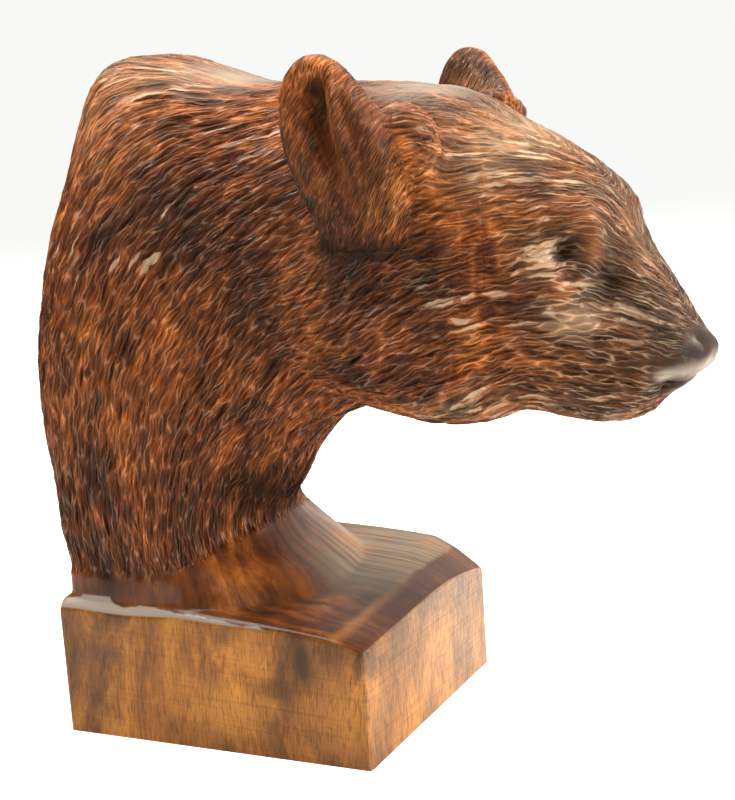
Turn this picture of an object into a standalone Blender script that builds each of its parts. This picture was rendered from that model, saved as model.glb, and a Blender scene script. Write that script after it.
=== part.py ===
"""A bear's head and neck, carved with its plinth from one block of dark hardwood.

The snout points along +X and the plinth stands on z = 0, centred on the origin. Lengths are in
metres. The figure is drawn in units of its own, which are millimetres at the real size, and its
heights are counted from the back of the plinth's top.
"""

import math

import bmesh
import bpy
import numpy as np
from mathutils.kdtree import KDTree

# Plinth
PLINTH_LENGTH = 0.1015
PLINTH_WIDTH = 0.0886
PLINTH_HEIGHT = 0.0435
PLINTH_FRONT_DROP = 0.0070
PLINTH_CORNER_DROP = 0.0065
PLINTH_EDGE_ROUND = 0.0018
PLINTH_SIDE_RISE = 0.0012

# Figure
FIGURE_HEIGHT = 0.1565
FIGURE_UNITS = 156.5
UNIT = FIGURE_HEIGHT / FIGURE_UNITS
FOOT_INSET = 0.0010
FIGURE_FORWARD = 0.00075

# Resolution of the carving and of the finished solid
VOXEL = 0.0014
TRIANGLES = 9600
SEED = 11

# The outer rail runs up the back of the neck, over the crown and down the face to the nose. The
# inner rail runs up the throat and along the jaw to the lip. Each station holds its two rail
# points (x, height), its half width, how square its section is on the outer and on the inner
# side, and how low its widest place lies.
STATIONS = (
    ((-52.5, 13.0), (4.0, 14.0), 43.6, 7.0, 2.2, 0.00),
    ((-57.5, 33.0), (9.0, 28.0), 44.3, 4.6, 2.2, 0.00),
    ((-62.5, 57.0), (17.0, 39.5), 45.5, 3.6, 2.2, 0.00),
    ((-62.8, 81.0), (27.0, 47.5), 46.5, 3.0, 2.3, 0.00),
    ((-58.5, 105.0), (35.5, 51.5), 46.2, 2.8, 2.4, 0.03),
    ((-50.5, 128.0), (39.5, 53.5), 45.0, 2.9, 2.4, 0.08),
    ((-41.0, 149.0), (41.5, 54.0), 43.5, 3.2, 2.4, 0.13),
    ((-25.0, 156.2), (43.5, 54.0), 43.0, 3.1, 2.4, 0.16),
    ((4.0, 149.0), (46.0, 53.5), 42.5, 2.7, 2.4, 0.18),
    ((31.0, 143.8), (50.0, 52.0), 42.5, 2.5, 2.4, 0.15),
    ((53.0, 143.8), (57.0, 49.3), 42.8, 2.5, 2.4, 0.13),
    ((71.0, 140.8), (66.5, 47.5), 41.0, 2.6, 2.5, 0.12),
    ((86.5, 133.6), (78.0, 49.8), 37.5, 2.7, 2.5, 0.13),
    ((99.8, 124.4), (89.5, 52.3), 32.0, 3.0, 2.5, 0.15),
    ((111.0, 113.6), (101.0, 51.0), 27.0, 3.1, 2.5, 0.15),
    ((120.5, 99.8), (111.5, 50.0), 22.5, 2.8, 2.5, 0.10),
    ((127.8, 87.3), (120.5, 52.0), 18.3, 2.5, 2.4, 0.05),
    ((133.4, 77.8), (126.3, 57.5), 14.5, 2.4, 2.4, 0.00),
    ((139.0, 72.0), (131.8, 61.0), 11.0, 2.6, 2.4, 0.00),
)
NOSE_TIP = (138.5, 67.0)

# Ears: foot and tip of the near ear's middle line, and its half breadth and half thickness
EAR_FOOT = (63.0, 36.5, 99.0)
EAR_TIP = (48.8, 49.5, 154.0)
EAR_HALF_BREADTH = 15.0
EAR_HALF_THICKNESS = 7.5
EAR_HOLLOW = 8.0

# Modelled forms on each side: place, reach along x, y and z, and how far they stand out or sink
FORMS = {
    "brow": ((109.0, 19.0, 109.0), (9.0, 9.0, 6.5), 3.4),
    "eye socket": ((113.0, 21.5, 99.5), (7.5, 8.0, 5.5), -4.2),
    "eyeball": ((112.5, 22.5, 99.5), (3.6, 4.0, 2.6), 3.2),
    "cheekbone": ((101.0, 31.0, 89.0), (10.0, 9.0, 7.0), 2.6),
    "jowl": ((67.0, 39.0, 65.0), (17.0, 14.0, 13.0), 2.6),
    "hollow before the jowl": ((92.0, 30.0, 61.0), (9.0, 12.0, 8.0), -2.0),
    "hollow beside the muzzle": ((118.0, 20.0, 86.0), (8.0, 8.0, 9.0), -2.0),
    "lip": ((116.0, 17.0, 60.0), (9.0, 8.0, 6.0), 1.3),
    "hollow behind the ear": ((36.0, 42.0, 106.0), (9.0, 12.0, 14.0), -3.2),
    "hollow under the ear": ((64.0, 42.0, 88.0), (12.0, 12.0, 6.0), -2.2),
    "throat side": ((2.0, 30.0, 27.0), (12.0, 13.0, 17.0), -5.5),
    "nostril": ((136.5, 9.0, 69.5), (3.2, 3.4, 2.8), -2.6),
    "mouth corner": ((128.0, 9.0, 60.0), (3.2, 7.0, 1.8), -2.0),
}

# The fur's lie on either side, seen from the side: place (x, height) and slope in degrees, with
# the hair pointing from the snout to the plinth
COMBS = (
    ((-45.0, 20.0), 90.0),
    ((-10.0, 20.0), 90.0),
    ((-60.0, 70.0), 84.0),
    ((-20.0, 55.0), 78.0),
    ((20.0, 50.0), 60.0),
    ((-55.0, 110.0), 62.0),
    ((-20.0, 95.0), 66.0),
    ((15.0, 80.0), 60.0),
    ((-35.0, 140.0), 32.0),
    ((0.0, 125.0), 38.0),
    ((0.0, 152.0), 3.0),
    ((28.0, 120.0), 35.0),
    ((45.0, 75.0), 38.0),
    ((60.0, 60.0), 24.0),
    ((78.0, 58.0), 12.0),
    ((92.0, 62.0), 0.0),
    ((108.0, 62.0), -14.0),
    ((70.0, 90.0), 30.0),
    ((88.0, 85.0), 8.0),
    ((85.0, 110.0), 28.0),
    ((70.0, 125.0), 18.0),
    ((95.0, 122.0), 16.0),
    ((60.0, 145.0), 4.0),
    ((115.0, 95.0), -12.0),
    ((125.0, 78.0), -16.0),
)

LOCK_LENGTH = 17.0
LOCK_WIDTH = 6.4
LOCK_DEPTH = 1.5
SEEDS_KEPT = 0.25


def clear_scene():
    for thing in list(bpy.data.objects):
        bpy.data.objects.remove(thing, do_unlink=True)


def vertices_of(mesh):
    points = np.empty(len(mesh.vertices) * 3)
    mesh.vertices.foreach_get("co", points)
    return points.reshape(-1, 3)


def normals_of(mesh):
    normals = np.empty(len(mesh.vertices) * 3)
    mesh.vertices.foreach_get("normal", normals)
    return normals.reshape(-1, 3)


def set_vertices(mesh, points):
    mesh.vertices.foreach_set("co", points.astype(np.float32).ravel())
    mesh.update()


def along(values, t):
    """Catmull-Rom through the rows of values, with t counted in stations."""
    values = np.asarray(values, float)
    last = len(values) - 1
    i = np.clip(np.floor(t).astype(int), 0, last - 1)
    f = (t - i)[:, None]
    before = values[np.clip(i - 1, 0, last)]
    start = values[i]
    end = values[i + 1]
    after = values[np.clip(i + 2, 0, last)]
    bend = 2 * before - 5 * start + 4 * end - after
    twist = 3 * start - before - 3 * end + after
    return 0.5 * (2 * start + (end - before) * f + bend * f**2 + twist * f**3)


def rails():
    """Outer points, inner points, half widths, squareness and sag of every station, in metres."""
    half_length = PLINTH_LENGTH / 2
    half_width = PLINTH_WIDTH / 2 - FOOT_INSET
    outer = [(-half_length + FOOT_INSET, -0.012), (-half_length + FOOT_INSET, 0.006)]
    inner = [(13.0 * UNIT, -0.012), (7.0 * UNIT, 0.005)]
    shape = [(half_width, 6.0, 2.2, 0.0), (half_width, 6.0, 2.2, 0.0)]
    for (back_x, back_z), (front_x, front_z), width, outer_square, inner_square, sag in STATIONS:
        outer.append((back_x * UNIT + FIGURE_FORWARD, back_z * UNIT))
        inner.append((front_x * UNIT + FIGURE_FORWARD, front_z * UNIT))
        shape.append((width * UNIT, outer_square, inner_square, sag))
    tip = (NOSE_TIP[0] * UNIT + FIGURE_FORWARD, NOSE_TIP[1] * UNIT)
    outer.append(tip)
    inner.append(tip)
    shape.append((0.0, 2.2, 2.2, 0.0))
    return np.array(outer), np.array(inner), np.array(shape)


def make_head_and_neck():
    """A sphere whose rings are laid between the two rails, from the foot to the nose."""
    bpy.ops.mesh.primitive_uv_sphere_add(segments=96, ring_count=150, radius=1)
    body = bpy.context.object
    points = vertices_of(body.data)
    outer, inner, shape = rails()
    ring = 1 - np.arccos(np.clip(points[:, 2], -1, 1)) / math.pi
    angle = np.arctan2(points[:, 1], points[:, 0])
    t = ring * (len(outer) - 1)
    back = along(outer, t)
    front = along(inner, t)
    width, outer_square, inner_square, sag = along(shape, t).T
    middle = (back + front) / 2
    reach = (back - front) / 2
    power = 2 / np.where(np.cos(angle) > 0, outer_square, inner_square)
    up = np.sign(np.cos(angle)) * np.abs(np.cos(angle)) ** power
    side = np.sign(np.sin(angle)) * np.abs(np.sin(angle)) ** power
    up = up - sag * (1 - up**2)
    closing = np.clip((1 - ring) * len(outer) / 1.0, 0, 1) * np.clip(ring * 60, 0, 1)
    points[:, 0] = middle[:, 0] + reach[:, 0] * up * closing
    points[:, 2] = middle[:, 1] + reach[:, 1] * up * closing + PLINTH_HEIGHT
    points[:, 1] = -width * side * closing
    set_vertices(body.data, points)
    return body


def make_ear(side):
    """A flattened sphere, cupped on its outer side, with its foot sunk in the head."""
    bpy.ops.mesh.primitive_uv_sphere_add(segments=48, ring_count=32, radius=1)
    ear = bpy.context.object
    points = vertices_of(ear.data)
    foot = np.array(EAR_FOOT) * UNIT
    tip = np.array(EAR_TIP) * UNIT
    axis = tip - foot
    half = np.linalg.norm(axis) / 2
    axis = axis / np.linalg.norm(axis)
    out = np.array([0.30, 0.95, 0.0])
    out = out - axis * (out @ axis)
    out = out / np.linalg.norm(out)
    across = np.cross(out, axis)
    a, b, c = points.T
    cup = np.exp(-((a / 0.42) ** 2) - ((c + 0.05) / 0.62) ** 2)
    outward = EAR_HALF_THICKNESS * b - EAR_HOLLOW * cup * np.clip(b * 3, 0, 1)
    outward = outward + 2.0 * a**2 * (b > -2)
    placed = (foot + tip) / 2
    placed = placed + np.outer(a * EAR_HALF_BREADTH * UNIT * (1 + 0.35 * c**2), across)
    placed = placed + np.outer(outward * UNIT, out)
    placed = placed + np.outer(c * half, axis)
    placed[:, 2] += PLINTH_HEIGHT
    placed[:, 1] *= side
    set_vertices(ear.data, placed)
    if side < 0:
        ear.data.flip_normals()
    return ear


def plinth_top(x, y):
    """The height of the plinth's top, which falls to the front and to the far front corner."""
    forward = np.clip((x + PLINTH_LENGTH / 2) / PLINTH_LENGTH, 0, 1)
    aside = np.clip(y / (PLINTH_WIDTH / 2), 0, 1)
    corner = aside**2 * np.clip(forward * 6.5 - 5.5, 0, 1)
    level = PLINTH_HEIGHT + PLINTH_SIDE_RISE * y / (PLINTH_WIDTH / 2)
    return level - PLINTH_FRONT_DROP * forward**3 - PLINTH_CORNER_DROP * corner


def make_plinth():
    """A block with a sculpted top, reaching below z = 0, where the finished part is cut off."""
    bpy.ops.mesh.primitive_cube_add(size=2)
    block = bpy.context.object
    form = bmesh.new()
    form.from_mesh(block.data)
    bmesh.ops.subdivide_edges(form, edges=form.edges[:], cuts=40, use_grid_fill=True)
    form.to_mesh(block.data)
    form.free()
    points = vertices_of(block.data)
    x = points[:, 0] * PLINTH_LENGTH / 2
    y = points[:, 1] * PLINTH_WIDTH / 2
    edge = np.minimum(PLINTH_LENGTH / 2 - np.abs(x), PLINTH_WIDTH / 2 - np.abs(y))
    rounding = np.clip(1 - edge / PLINTH_EDGE_ROUND, 0, 1)
    top = plinth_top(x, y) - PLINTH_EDGE_ROUND * (1 - np.sqrt(1 - rounding**2 * 0.999)) * 0.6
    rise = (points[:, 2] + 1) / 2
    low = -3 * VOXEL
    placed = np.stack([x, y, low + (top - low) * rise], axis=1)
    set_vertices(block.data, placed)
    return block


def join_as_one(pieces, name):
    """Overlapping closed pieces made one skin by a voxel remesh."""
    bpy.ops.object.select_all(action="DESELECT")
    for piece in pieces:
        piece.select_set(True)
    bust = pieces[0]
    bpy.context.view_layer.objects.active = bust
    bpy.ops.object.join()
    bust.name = name
    bust.data.name = name
    remesh = bust.modifiers.new("one skin", "REMESH")
    remesh.mode = "VOXEL"
    remesh.voxel_size = VOXEL
    bpy.ops.object.modifier_apply(modifier=remesh.name)
    return bust


def edges_of(mesh):
    ends = np.empty(len(mesh.edges) * 2, np.int64)
    mesh.edges.foreach_get("vertices", ends)
    return ends.reshape(-1, 2)


def soften(points, ends, weight, rounds):
    """Moves each point towards the mean of its neighbours, by its weight."""
    count = np.bincount(ends.ravel(), minlength=len(points))[:, None]
    for _ in range(rounds):
        total = np.zeros_like(points)
        for axis in range(3):
            total[:, axis] += np.bincount(ends[:, 0], points[ends[:, 1], axis], len(points))
            total[:, axis] += np.bincount(ends[:, 1], points[ends[:, 0], axis], len(points))
        points = points + (total / count - points) * weight[:, None]
    return points


def skin_weight(points):
    """1 on the figure, falling to 0 on the plinth's sides and edges."""
    above = points[:, 2] - plinth_top(points[:, 0], points[:, 1])
    return np.clip(above / 0.004 + 0.2, 0, 1)


def model_forms(points, normals):
    """Raises and sinks the modelled forms along the surface's normals."""
    moved = points.copy()
    for (x, y, z), reach, amount in FORMS.values():
        place = np.array([x * UNIT, y * UNIT, z * UNIT + PLINTH_HEIGHT])
        mirrored = np.stack([points[:, 0], np.abs(points[:, 1]), points[:, 2]], axis=1)
        near = ((mirrored - place) / (np.array(reach) * UNIT)) ** 2
        moved += normals * (amount * UNIT * np.exp(-near.sum(axis=1)))[:, None]
    return moved


def fur_lie(points, normals):
    """Unit vectors along the hair in the surface, from the snout to the plinth."""
    places = np.array([[x * UNIT, z * UNIT + PLINTH_HEIGHT] for (x, z), _ in COMBS])
    slopes = np.radians([slope for _, slope in COMBS])
    gaps = points[:, None, [0, 2]] - places[None]
    pull = 1 / ((gaps**2).sum(axis=2) + (4 * UNIT) ** 2) ** 1.5
    pull /= pull.sum(axis=1, keepdims=True)
    lie = np.zeros_like(points)
    lie[:, 0] = -(pull * np.cos(slopes)).sum(axis=1)
    lie[:, 2] = -(pull * np.sin(slopes)).sum(axis=1)
    lie[:, 1] = 0.15 * np.sign(points[:, 1])
    lie -= normals * (lie * normals).sum(axis=1, keepdims=True)
    return lie / np.linalg.norm(lie, axis=1, keepdims=True)


def scatter(points, normals, lie, allowed, length, width, chance):
    """Places of strokes, none closer to another than length along the fur or width across it."""
    picks = chance.permutation(np.flatnonzero(allowed))
    across = np.cross(normals, lie)
    open_ones = np.ones(len(picks), bool)
    chosen = []
    while open_ones.any():
        first = np.argmax(open_ones)
        pick = picks[first]
        chosen.append(pick)
        gap = points[picks] - points[pick]
        ahead = gap @ lie[pick] / length
        aside = gap @ across[pick] / width
        over = gap @ normals[pick] / length
        open_ones &= ahead**2 + aside**2 + over**2 > 1
    return chosen


def carve_locks(points, normals, bare):
    """Cuts overlapping tapered locks along the fur's lie, where bare is 0."""
    chance = np.random.default_rng(SEED)
    lie = fur_lie(points, normals)
    across = np.cross(normals, lie)
    allowed = (bare < 0.5) & (chance.random(len(points)) < SEEDS_KEPT)
    length = LOCK_LENGTH * UNIT
    width = LOCK_WIDTH * UNIT
    tree = KDTree(len(points))
    for number, point in enumerate(points):
        tree.insert(point, number)
    tree.balance()
    depth = np.zeros(len(points))
    for pick in scatter(points, normals, lie, allowed, length * 0.6, width * 0.8, chance):
        near = np.array([found[1] for found in tree.find_range(points[pick], length / 2)])
        gap = points[near] - points[pick]
        u = gap @ lie[pick] / (length / 2)
        v = gap @ across[pick] / (width / 2)
        taper = np.clip(1 - u**2, 0, 1) ** 0.7
        cut = np.clip(1 - np.abs(v) / np.maximum(taper, 0.05), 0, 1) * taper
        facing = normals[near] @ normals[pick] > 0.3
        depth[near] = np.maximum(depth[near], cut * facing * chance.uniform(0.75, 1.1))
    return points - normals * (depth * LOCK_DEPTH * UNIT * (1 - bare))[:, None]


def bare_places(points):
    """1 where the wood has no locks: the plinth, the sweep to it, the nose and the ears."""
    x = points[:, 0] / UNIT
    z = (points[:, 2] - PLINTH_HEIGHT) / UNIT
    low = 9.0 + np.clip((x + 15) / 25, 0, 1) * 8.0
    plinth = np.clip((low - z) / 5.0, 0, 1)
    nose = np.clip((x - 131.0 + (72.0 - z) * 0.35) / 3.0, 0, 1)
    foot, tip = np.array(EAR_FOOT), np.array(EAR_TIP)
    level = np.clip((z - foot[2]) / (tip[2] - foot[2]), 0, 1)
    middle = foot + np.outer(level, tip - foot)
    gap = np.hypot(x - middle[:, 0], np.abs(points[:, 1]) / UNIT - middle[:, 1])
    ear = np.clip((EAR_HALF_BREADTH + 3 - gap) / 3.0, 0, 1) * np.clip((z - 112.0) / 6.0, 0, 1)
    return np.maximum(np.maximum(plinth, nose), ear)


def make_bust():
    pieces = [make_head_and_neck(), make_ear(-1), make_ear(1), make_plinth()]
    bust = join_as_one(pieces, "bear_bust")
    mesh = bust.data
    ends = edges_of(mesh)
    points = vertices_of(mesh)
    points = soften(points, ends, 0.6 * skin_weight(points), 6)
    set_vertices(mesh, points)
    points = model_forms(points, normals_of(mesh))
    points = soften(points, ends, 0.4 * skin_weight(points), 2)
    set_vertices(mesh, points)
    points = carve_locks(points, normals_of(mesh), bare_places(points))
    set_vertices(mesh, points)
    return bust


def thin_out(bust):
    triangles = sum(len(face.vertices) - 2 for face in bust.data.polygons)
    decimate = bust.modifiers.new("fewer faces", "DECIMATE")
    decimate.ratio = TRIANGLES / triangles
    decimate.use_collapse_triangulate = True
    bpy.ops.object.modifier_apply(modifier=decimate.name)


def cut_flat_below(bust):
    """Cuts the block off flat at z = 0 and closes it there."""
    form = bmesh.new()
    form.from_mesh(bust.data)
    everything = form.verts[:] + form.edges[:] + form.faces[:]
    cut = bmesh.ops.bisect_plane(
        form, geom=everything, plane_co=(0, 0, 0), plane_no=(0, 0, 1), clear_inner=True
    )
    rim = [item for item in cut["geom_cut"] if isinstance(item, bmesh.types.BMEdge)]
    bmesh.ops.holes_fill(form, edges=rim)
    bmesh.ops.triangulate(form, faces=[face for face in form.faces if len(face.verts) > 3])
    bmesh.ops.recalc_face_normals(form, faces=form.faces[:])
    form.to_mesh(bust.data)
    form.free()


def dark_hardwood():
    wood = bpy.data.materials.new("dark hardwood")
    wood.use_nodes = True
    shader = wood.node_tree.nodes["Principled BSDF"]
    shader.inputs["Base Color"].default_value = (0.19, 0.065, 0.025, 1.0)
    shader.inputs["Roughness"].default_value = 0.32
    shader.inputs["Metallic"].default_value = 0.0
    return wood


def main():
    clear_scene()
    collection = bpy.data.collections.new("bear bust")
    bpy.context.scene.collection.children.link(collection)
    bust = make_bust()
    thin_out(bust)
    cut_flat_below(bust)
    bust.data.shade_smooth()
    bust.data.materials.clear()
    bust.data.materials.append(dark_hardwood())
    for holder in list(bust.users_collection):
        holder.objects.unlink(bust)
    collection.objects.link(bust)


main()
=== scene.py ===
"""The look of a bear's head and neck carved with its plinth from one block of dark hardwood.

The carved bust is one piece. It is built from the same stations and forms as the solid it stands
for, at a far finer step, and its fur is cut into the mesh stroke by stroke. The snout points
along +X and the plinth stands on z = 0. Figure places are in units of the figure, which are
millimetres at the real size, with heights counted from the back of the plinth's top.
"""

import math

import bpy
import numpy as np
from mathutils import Matrix, Vector
from mathutils.kdtree import KDTree


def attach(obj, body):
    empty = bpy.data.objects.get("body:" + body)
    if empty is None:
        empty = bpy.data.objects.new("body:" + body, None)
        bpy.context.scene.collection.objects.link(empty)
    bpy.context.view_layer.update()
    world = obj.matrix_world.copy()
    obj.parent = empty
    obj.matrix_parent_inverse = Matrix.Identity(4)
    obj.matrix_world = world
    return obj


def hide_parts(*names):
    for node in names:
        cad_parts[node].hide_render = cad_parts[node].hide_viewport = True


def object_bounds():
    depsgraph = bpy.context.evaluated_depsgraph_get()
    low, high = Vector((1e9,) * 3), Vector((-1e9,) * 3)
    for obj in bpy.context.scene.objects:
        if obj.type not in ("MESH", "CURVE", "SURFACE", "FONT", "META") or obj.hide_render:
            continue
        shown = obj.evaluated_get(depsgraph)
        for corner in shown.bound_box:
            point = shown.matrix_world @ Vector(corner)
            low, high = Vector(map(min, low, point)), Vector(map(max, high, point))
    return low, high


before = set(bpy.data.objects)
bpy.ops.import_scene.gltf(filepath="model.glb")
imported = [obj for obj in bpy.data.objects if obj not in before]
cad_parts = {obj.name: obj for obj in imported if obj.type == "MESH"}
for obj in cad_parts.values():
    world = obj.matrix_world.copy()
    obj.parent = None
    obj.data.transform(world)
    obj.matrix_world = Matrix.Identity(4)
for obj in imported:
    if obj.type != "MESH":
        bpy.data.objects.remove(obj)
CAD_LOW, CAD_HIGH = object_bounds()

# Plinth, in metres
PLINTH_LENGTH = 0.1015
PLINTH_WIDTH = 0.0886
PLINTH_HEIGHT = 0.0435
PLINTH_FRONT_DROP = 0.0052
PLINTH_CORNER_DROP = 0.0062
PLINTH_EDGE_ROUND = 0.0010
PLINTH_SIDE_RISE = 0.0016
FRONT_BEVEL = 0.0085
FRONT_BEVEL_SLOPE = 0.20
NEAR_BEVEL = 0.0027
NEAR_BEVEL_TAPER = (1.25, 1.05, 0.25)
NEAR_BEVEL_WAVE = (0.12, 0.006)
CORNER_FROM = (5.5, 6.5)

# Figure
UNIT = 0.001
FIGURE_FORWARD = 0.00075

# Fineness of the carving
VOXEL = 0.0005
TRIANGLES = 192000
SEED = 11
HEAD_SPHERE = (160, 260)
EAR_SPHERE = (72, 72)
COLLAR_SPHERE = (48, 32)
PLINTH_CUTS = 90
PLINTH_BELOW = -6 * VOXEL
# How soon the foot and the ear's lower end open to their full girth
FOOT_OPENING = 60
EAR_OPENING = 12
SMOOTH_ANGLE = 32
# How strongly and how often the skin is softened: once the pieces are one, once the forms are
# modelled and once the ears are
SOFT_JOINS = (0.6, 30)
SOFT_FORMS = (0.4, 4)
SOFT_EARS = (0.5, 4)

# The outer rail runs up the back of the neck, over the crown and down the face to the nose. The
# inner rail runs up the throat and along the jaw to the lip. Each station holds its two rail
# points (x, height), its half width, how square its section is on the outer and on the inner
# side, and how low its widest place lies.
STATIONS = (
    ((-50.9, 1), (23, -1), 41.9, 14, 2.2, 0.00),
    ((-51.4, 8), (15, 5), 42.1, 11, 2.2, 0.00),
    ((-53.2, 16), (3.2, 15), 42.9, 8, 2.2, 0.00),
    ((-57.5, 33), (9.9, 28), 44.3, 4.6, 2.2, 0.00),
    ((-62.5, 57), (17, 39.5), 45.5, 3.6, 2.2, 0.00),
    ((-62.8, 81), (26, 47.5), 46.5, 3, 2.3, 0.00),
    ((-58.5, 105), (35.5, 51.5), 46.2, 2.8, 2.4, 0.03),
    ((-50, 125.8), (39.5, 53.5), 45, 2.9, 2.4, 0.08),
    ((-42.8, 142.6), (41, 54), 43.8, 3.1, 2.4, 0.12),
    ((-37.4, 152.4), (42, 54), 43.4, 3.2, 2.4, 0.14),
    ((-29, 156.6), (43, 54), 43, 3.1, 2.4, 0.16),
    ((-15, 153.3), (44.5, 53.8), 42.7, 2.9, 2.4, 0.17),
    ((6.5, 146.8), (46.5, 53.3), 42.5, 2.7, 2.4, 0.18),
    ((31, 145.6), (50, 52), 42.5, 2.5, 2.4, 0.15),
    ((53, 144.2), (57, 50.2), 42.8, 2.5, 2.4, 0.13),
    ((71, 140.8), (66.5, 48.6), 41, 2.6, 2.5, 0.12),
    ((86, 132.2), (78, 49.8), 37.5, 2.7, 2.5, 0.13),
    ((99.8, 124.2), (89.5, 53.2), 32, 3, 2.5, 0.15),
    ((112.4, 115), (101, 51), 27, 2.75, 2.5, 0.15),
    ((119.8, 99.4), (111.5, 50), 22.5, 2.8, 2.5, 0.10),
    ((127.8, 87.3), (120.5, 52), 18.3, 2.5, 2.4, 0.05),
    ((133.4, 77.8), (126.3, 57.5), 14.5, 2.4, 2.4, 0.00),
    ((138.7, 70.6), (131.8, 61), 11, 2.6, 2.4, 0.00),
)
# The same for the foot, which stands inside the plinth and is counted from the plinth's middle, and
# for the tip of the nose, where both rails meet
FOOT = ((-50.0, -11.0), (33.0, -11.0), 41.7, 14.0, 2.2, 0.0)
NOSE_TIP = ((138.2, 66.4), (138.2, 66.4), 0.0, 2.2, 2.2, 0.0)

# Ears: height, back edge, front edge and half thickness of each level, and how the ear leans out
EAR_LEVELS = (
    (97.5, 49, 64, 5.4),
    (105, 45, 68.5, 8.5),
    (116, 41.5, 69.5, 8.6),
    (126, 39.5, 68.5, 7.8),
    (136, 38.8, 65.5, 6.8),
    (145, 40.3, 60.2, 5.8),
    (151, 43.8, 56, 4.6),
    (154, 48, 52.4, 0.8),
)
EAR_FOOT_SIDE = 36.5
EAR_TIP_SIDE = 49.0
EAR_TURN = 0.28
EAR_FLATNESS = 0.8
EAR_RELIEF_FADE = 0.75
FAR_EAR_FORWARD = 3.8
FAR_EAR_DROP = 1.8
FAR_EAR_TILT = 0.22
FAR_EAR_BROADER = 1.10
# The fur that joins the ear's front edge to the head, as a ball: place and reach
COLLAR = ((66.0, 33.5, 127.0), (11.2, 10.0, 13.5))
# How far the ear's own fur reaches past its edges and inside its middle, and where it starts
EAR_FUR_PAST = 2.5
EAR_FUR_INSIDE = 9.0
EAR_FUR_FOOT = 100.0
# Relief of the ear's outer side: the line that it follows seen from the side, its half width at
# both ends, and how far it stands out or sinks
EAR_SLIT = ((50.0, 145.0), (51.0, 137.0), (52.8, 129.0), (55.6, 119.0))
EAR_RELIEF = {
    "hollow": (EAR_SLIT, 6, 3, -2.4),
    "slit": (EAR_SLIT, 3, 1.4, -1.8),
    "ridge": (((54.6, 146), (56, 137), (58.2, 128), (61, 117)), 2.3, 1.9, 1.9),
    "front lobe": (((60.5, 142), (63, 133), (65, 122), (66, 113)), 3.6, 4.6, 1.6),
    "rim": (
        ((43.5, 128), (42.8, 137), (45, 146), (51, 151.5), (57.5, 149)), 2.6, 2.4, 1
    ),
}

# Modelled forms on each side: place, reach along x, y and z, and how far they stand out or sink
FORMS = {
    "brow": ((106, 21, 109), (9, 7, 6), 1.7),
    "eye socket": ((112, 21.5, 97), (8.5, 8, 7.5), -3.4),
    "closed eye": ((112.2, 19.5, 101), (2.8, 5, 7), 3),
    "rear corner of the eye": ((105.6, 25, 100.4), (2.2, 3.6, 2.8), -3),
    "hollow under the eye": ((108, 24, 94), (2.8, 3, 2.2), -2.2),
    "front hollow of the eye": ((116, 18.6, 90.5), (4.6, 4.6, 4.6), -2.6),
    "ridge before the eye": ((119.5, 13, 99.5), (3.6, 5, 9), 0.3),
    "step before the collar": ((78.5, 28, 127), (2.4, 9, 9), -0.9),
    "cheekbone": ((101, 31, 86), (10, 9, 7), 2.6),
    "cheekbone's front": ((108.5, 25, 82.5), (5, 5, 4.2), 1.3),
    "jowl": ((67, 39, 66), (17, 14, 12), 2.2),
    "hollow before the jowl": ((92, 30, 61), (9, 12, 8), -2),
    "hollow beside the muzzle": ((118, 20, 86), (8, 8, 9), -1.6),
    "lip": ((118, 17, 62), (9, 8, 6), 1.3),
    "hollow behind the ear": ((36, 42, 106), (9, 12, 14), -3.2),
    "hollow under the ear": ((64, 42, 90), (12, 12, 6), -2.2),
    "throat side": ((2, 30, 27), (12, 13, 17), -5.5),
    "nostril": ((134.6, 10.5, 70), (3.4, 3, 2.6), -1.5),
    "flat of the nose": ((136, 5.5, 75.5), (3, 4.5, 3), -0.6),
    "edge under the nose": ((135, 7.5, 66.4), (4, 5, 1.2), 0.7),
}

# Thin ridges and grooves on each side: the points they run through, half width and height
RIDGES = {
    "lower lid": (((101.7, 31.4, 91), (106, 28, 90.4), (110.7, 24.3, 89.6)), 1, 1.1),
    "crease under the lid": (
        ((102, 31, 88.4), (107.5, 27, 87.6), (111, 24.3, 86.6)), 0.9, -1
    ),
    "fold before the cheek": (
        ((110.7, 24.3, 88.6), (115.2, 21, 84.6), (118, 19.5, 80)), 0.8, 0.7
    ),
    "mouth": (((134.5, 0, 62.6), (133.5, 7, 62.4), (129, 12.5, 62.2)), 1.1, -2.4),
}

# The fur's lie on either side, seen from the side: place (x, height) and slope in degrees, with
# the hair pointing from the snout to the plinth
COMBS = (
    ((-45, 20), 90),
    ((-10, 20), 90),
    ((-60, 70), 84),
    ((-20, 55), 78),
    ((20, 50), 60),
    ((-58, 90), 62),
    ((-55, 110), 47),
    ((-48, 128), 38),
    ((-20, 95), 66),
    ((15, 80), 60),
    ((-38, 143), 34),
    ((-20, 135), 36),
    ((8, 130), 28),
    ((-5, 110), 48),
    ((0, 152), 3),
    ((28, 125), 25),
    ((25, 105), 40),
    ((45, 75), 38),
    ((60, 60), 36),
    ((76, 58), 24),
    ((90, 60), 6),
    ((104, 62), -14),
    ((118, 62), -10),
    ((70, 90), 30),
    ((88, 85), 8),
    ((85, 110), 28),
    ((70, 125), 18),
    ((95, 122), 16),
    ((60, 145), 4),
    ((73, 128), 8),
    ((54, 97), 52),
    ((103, 109), 30),
    ((98, 100), 22),
    ((117, 102), -12),
    ((114, 90), -12),
    ((106, 80), -12),
    ((124, 82), -14),
    ((128, 70), -12),
)
EAR_COMB = 62.0
FUR_ASIDE = 0.15
COMB_SOFTNESS = 4.0

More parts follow.
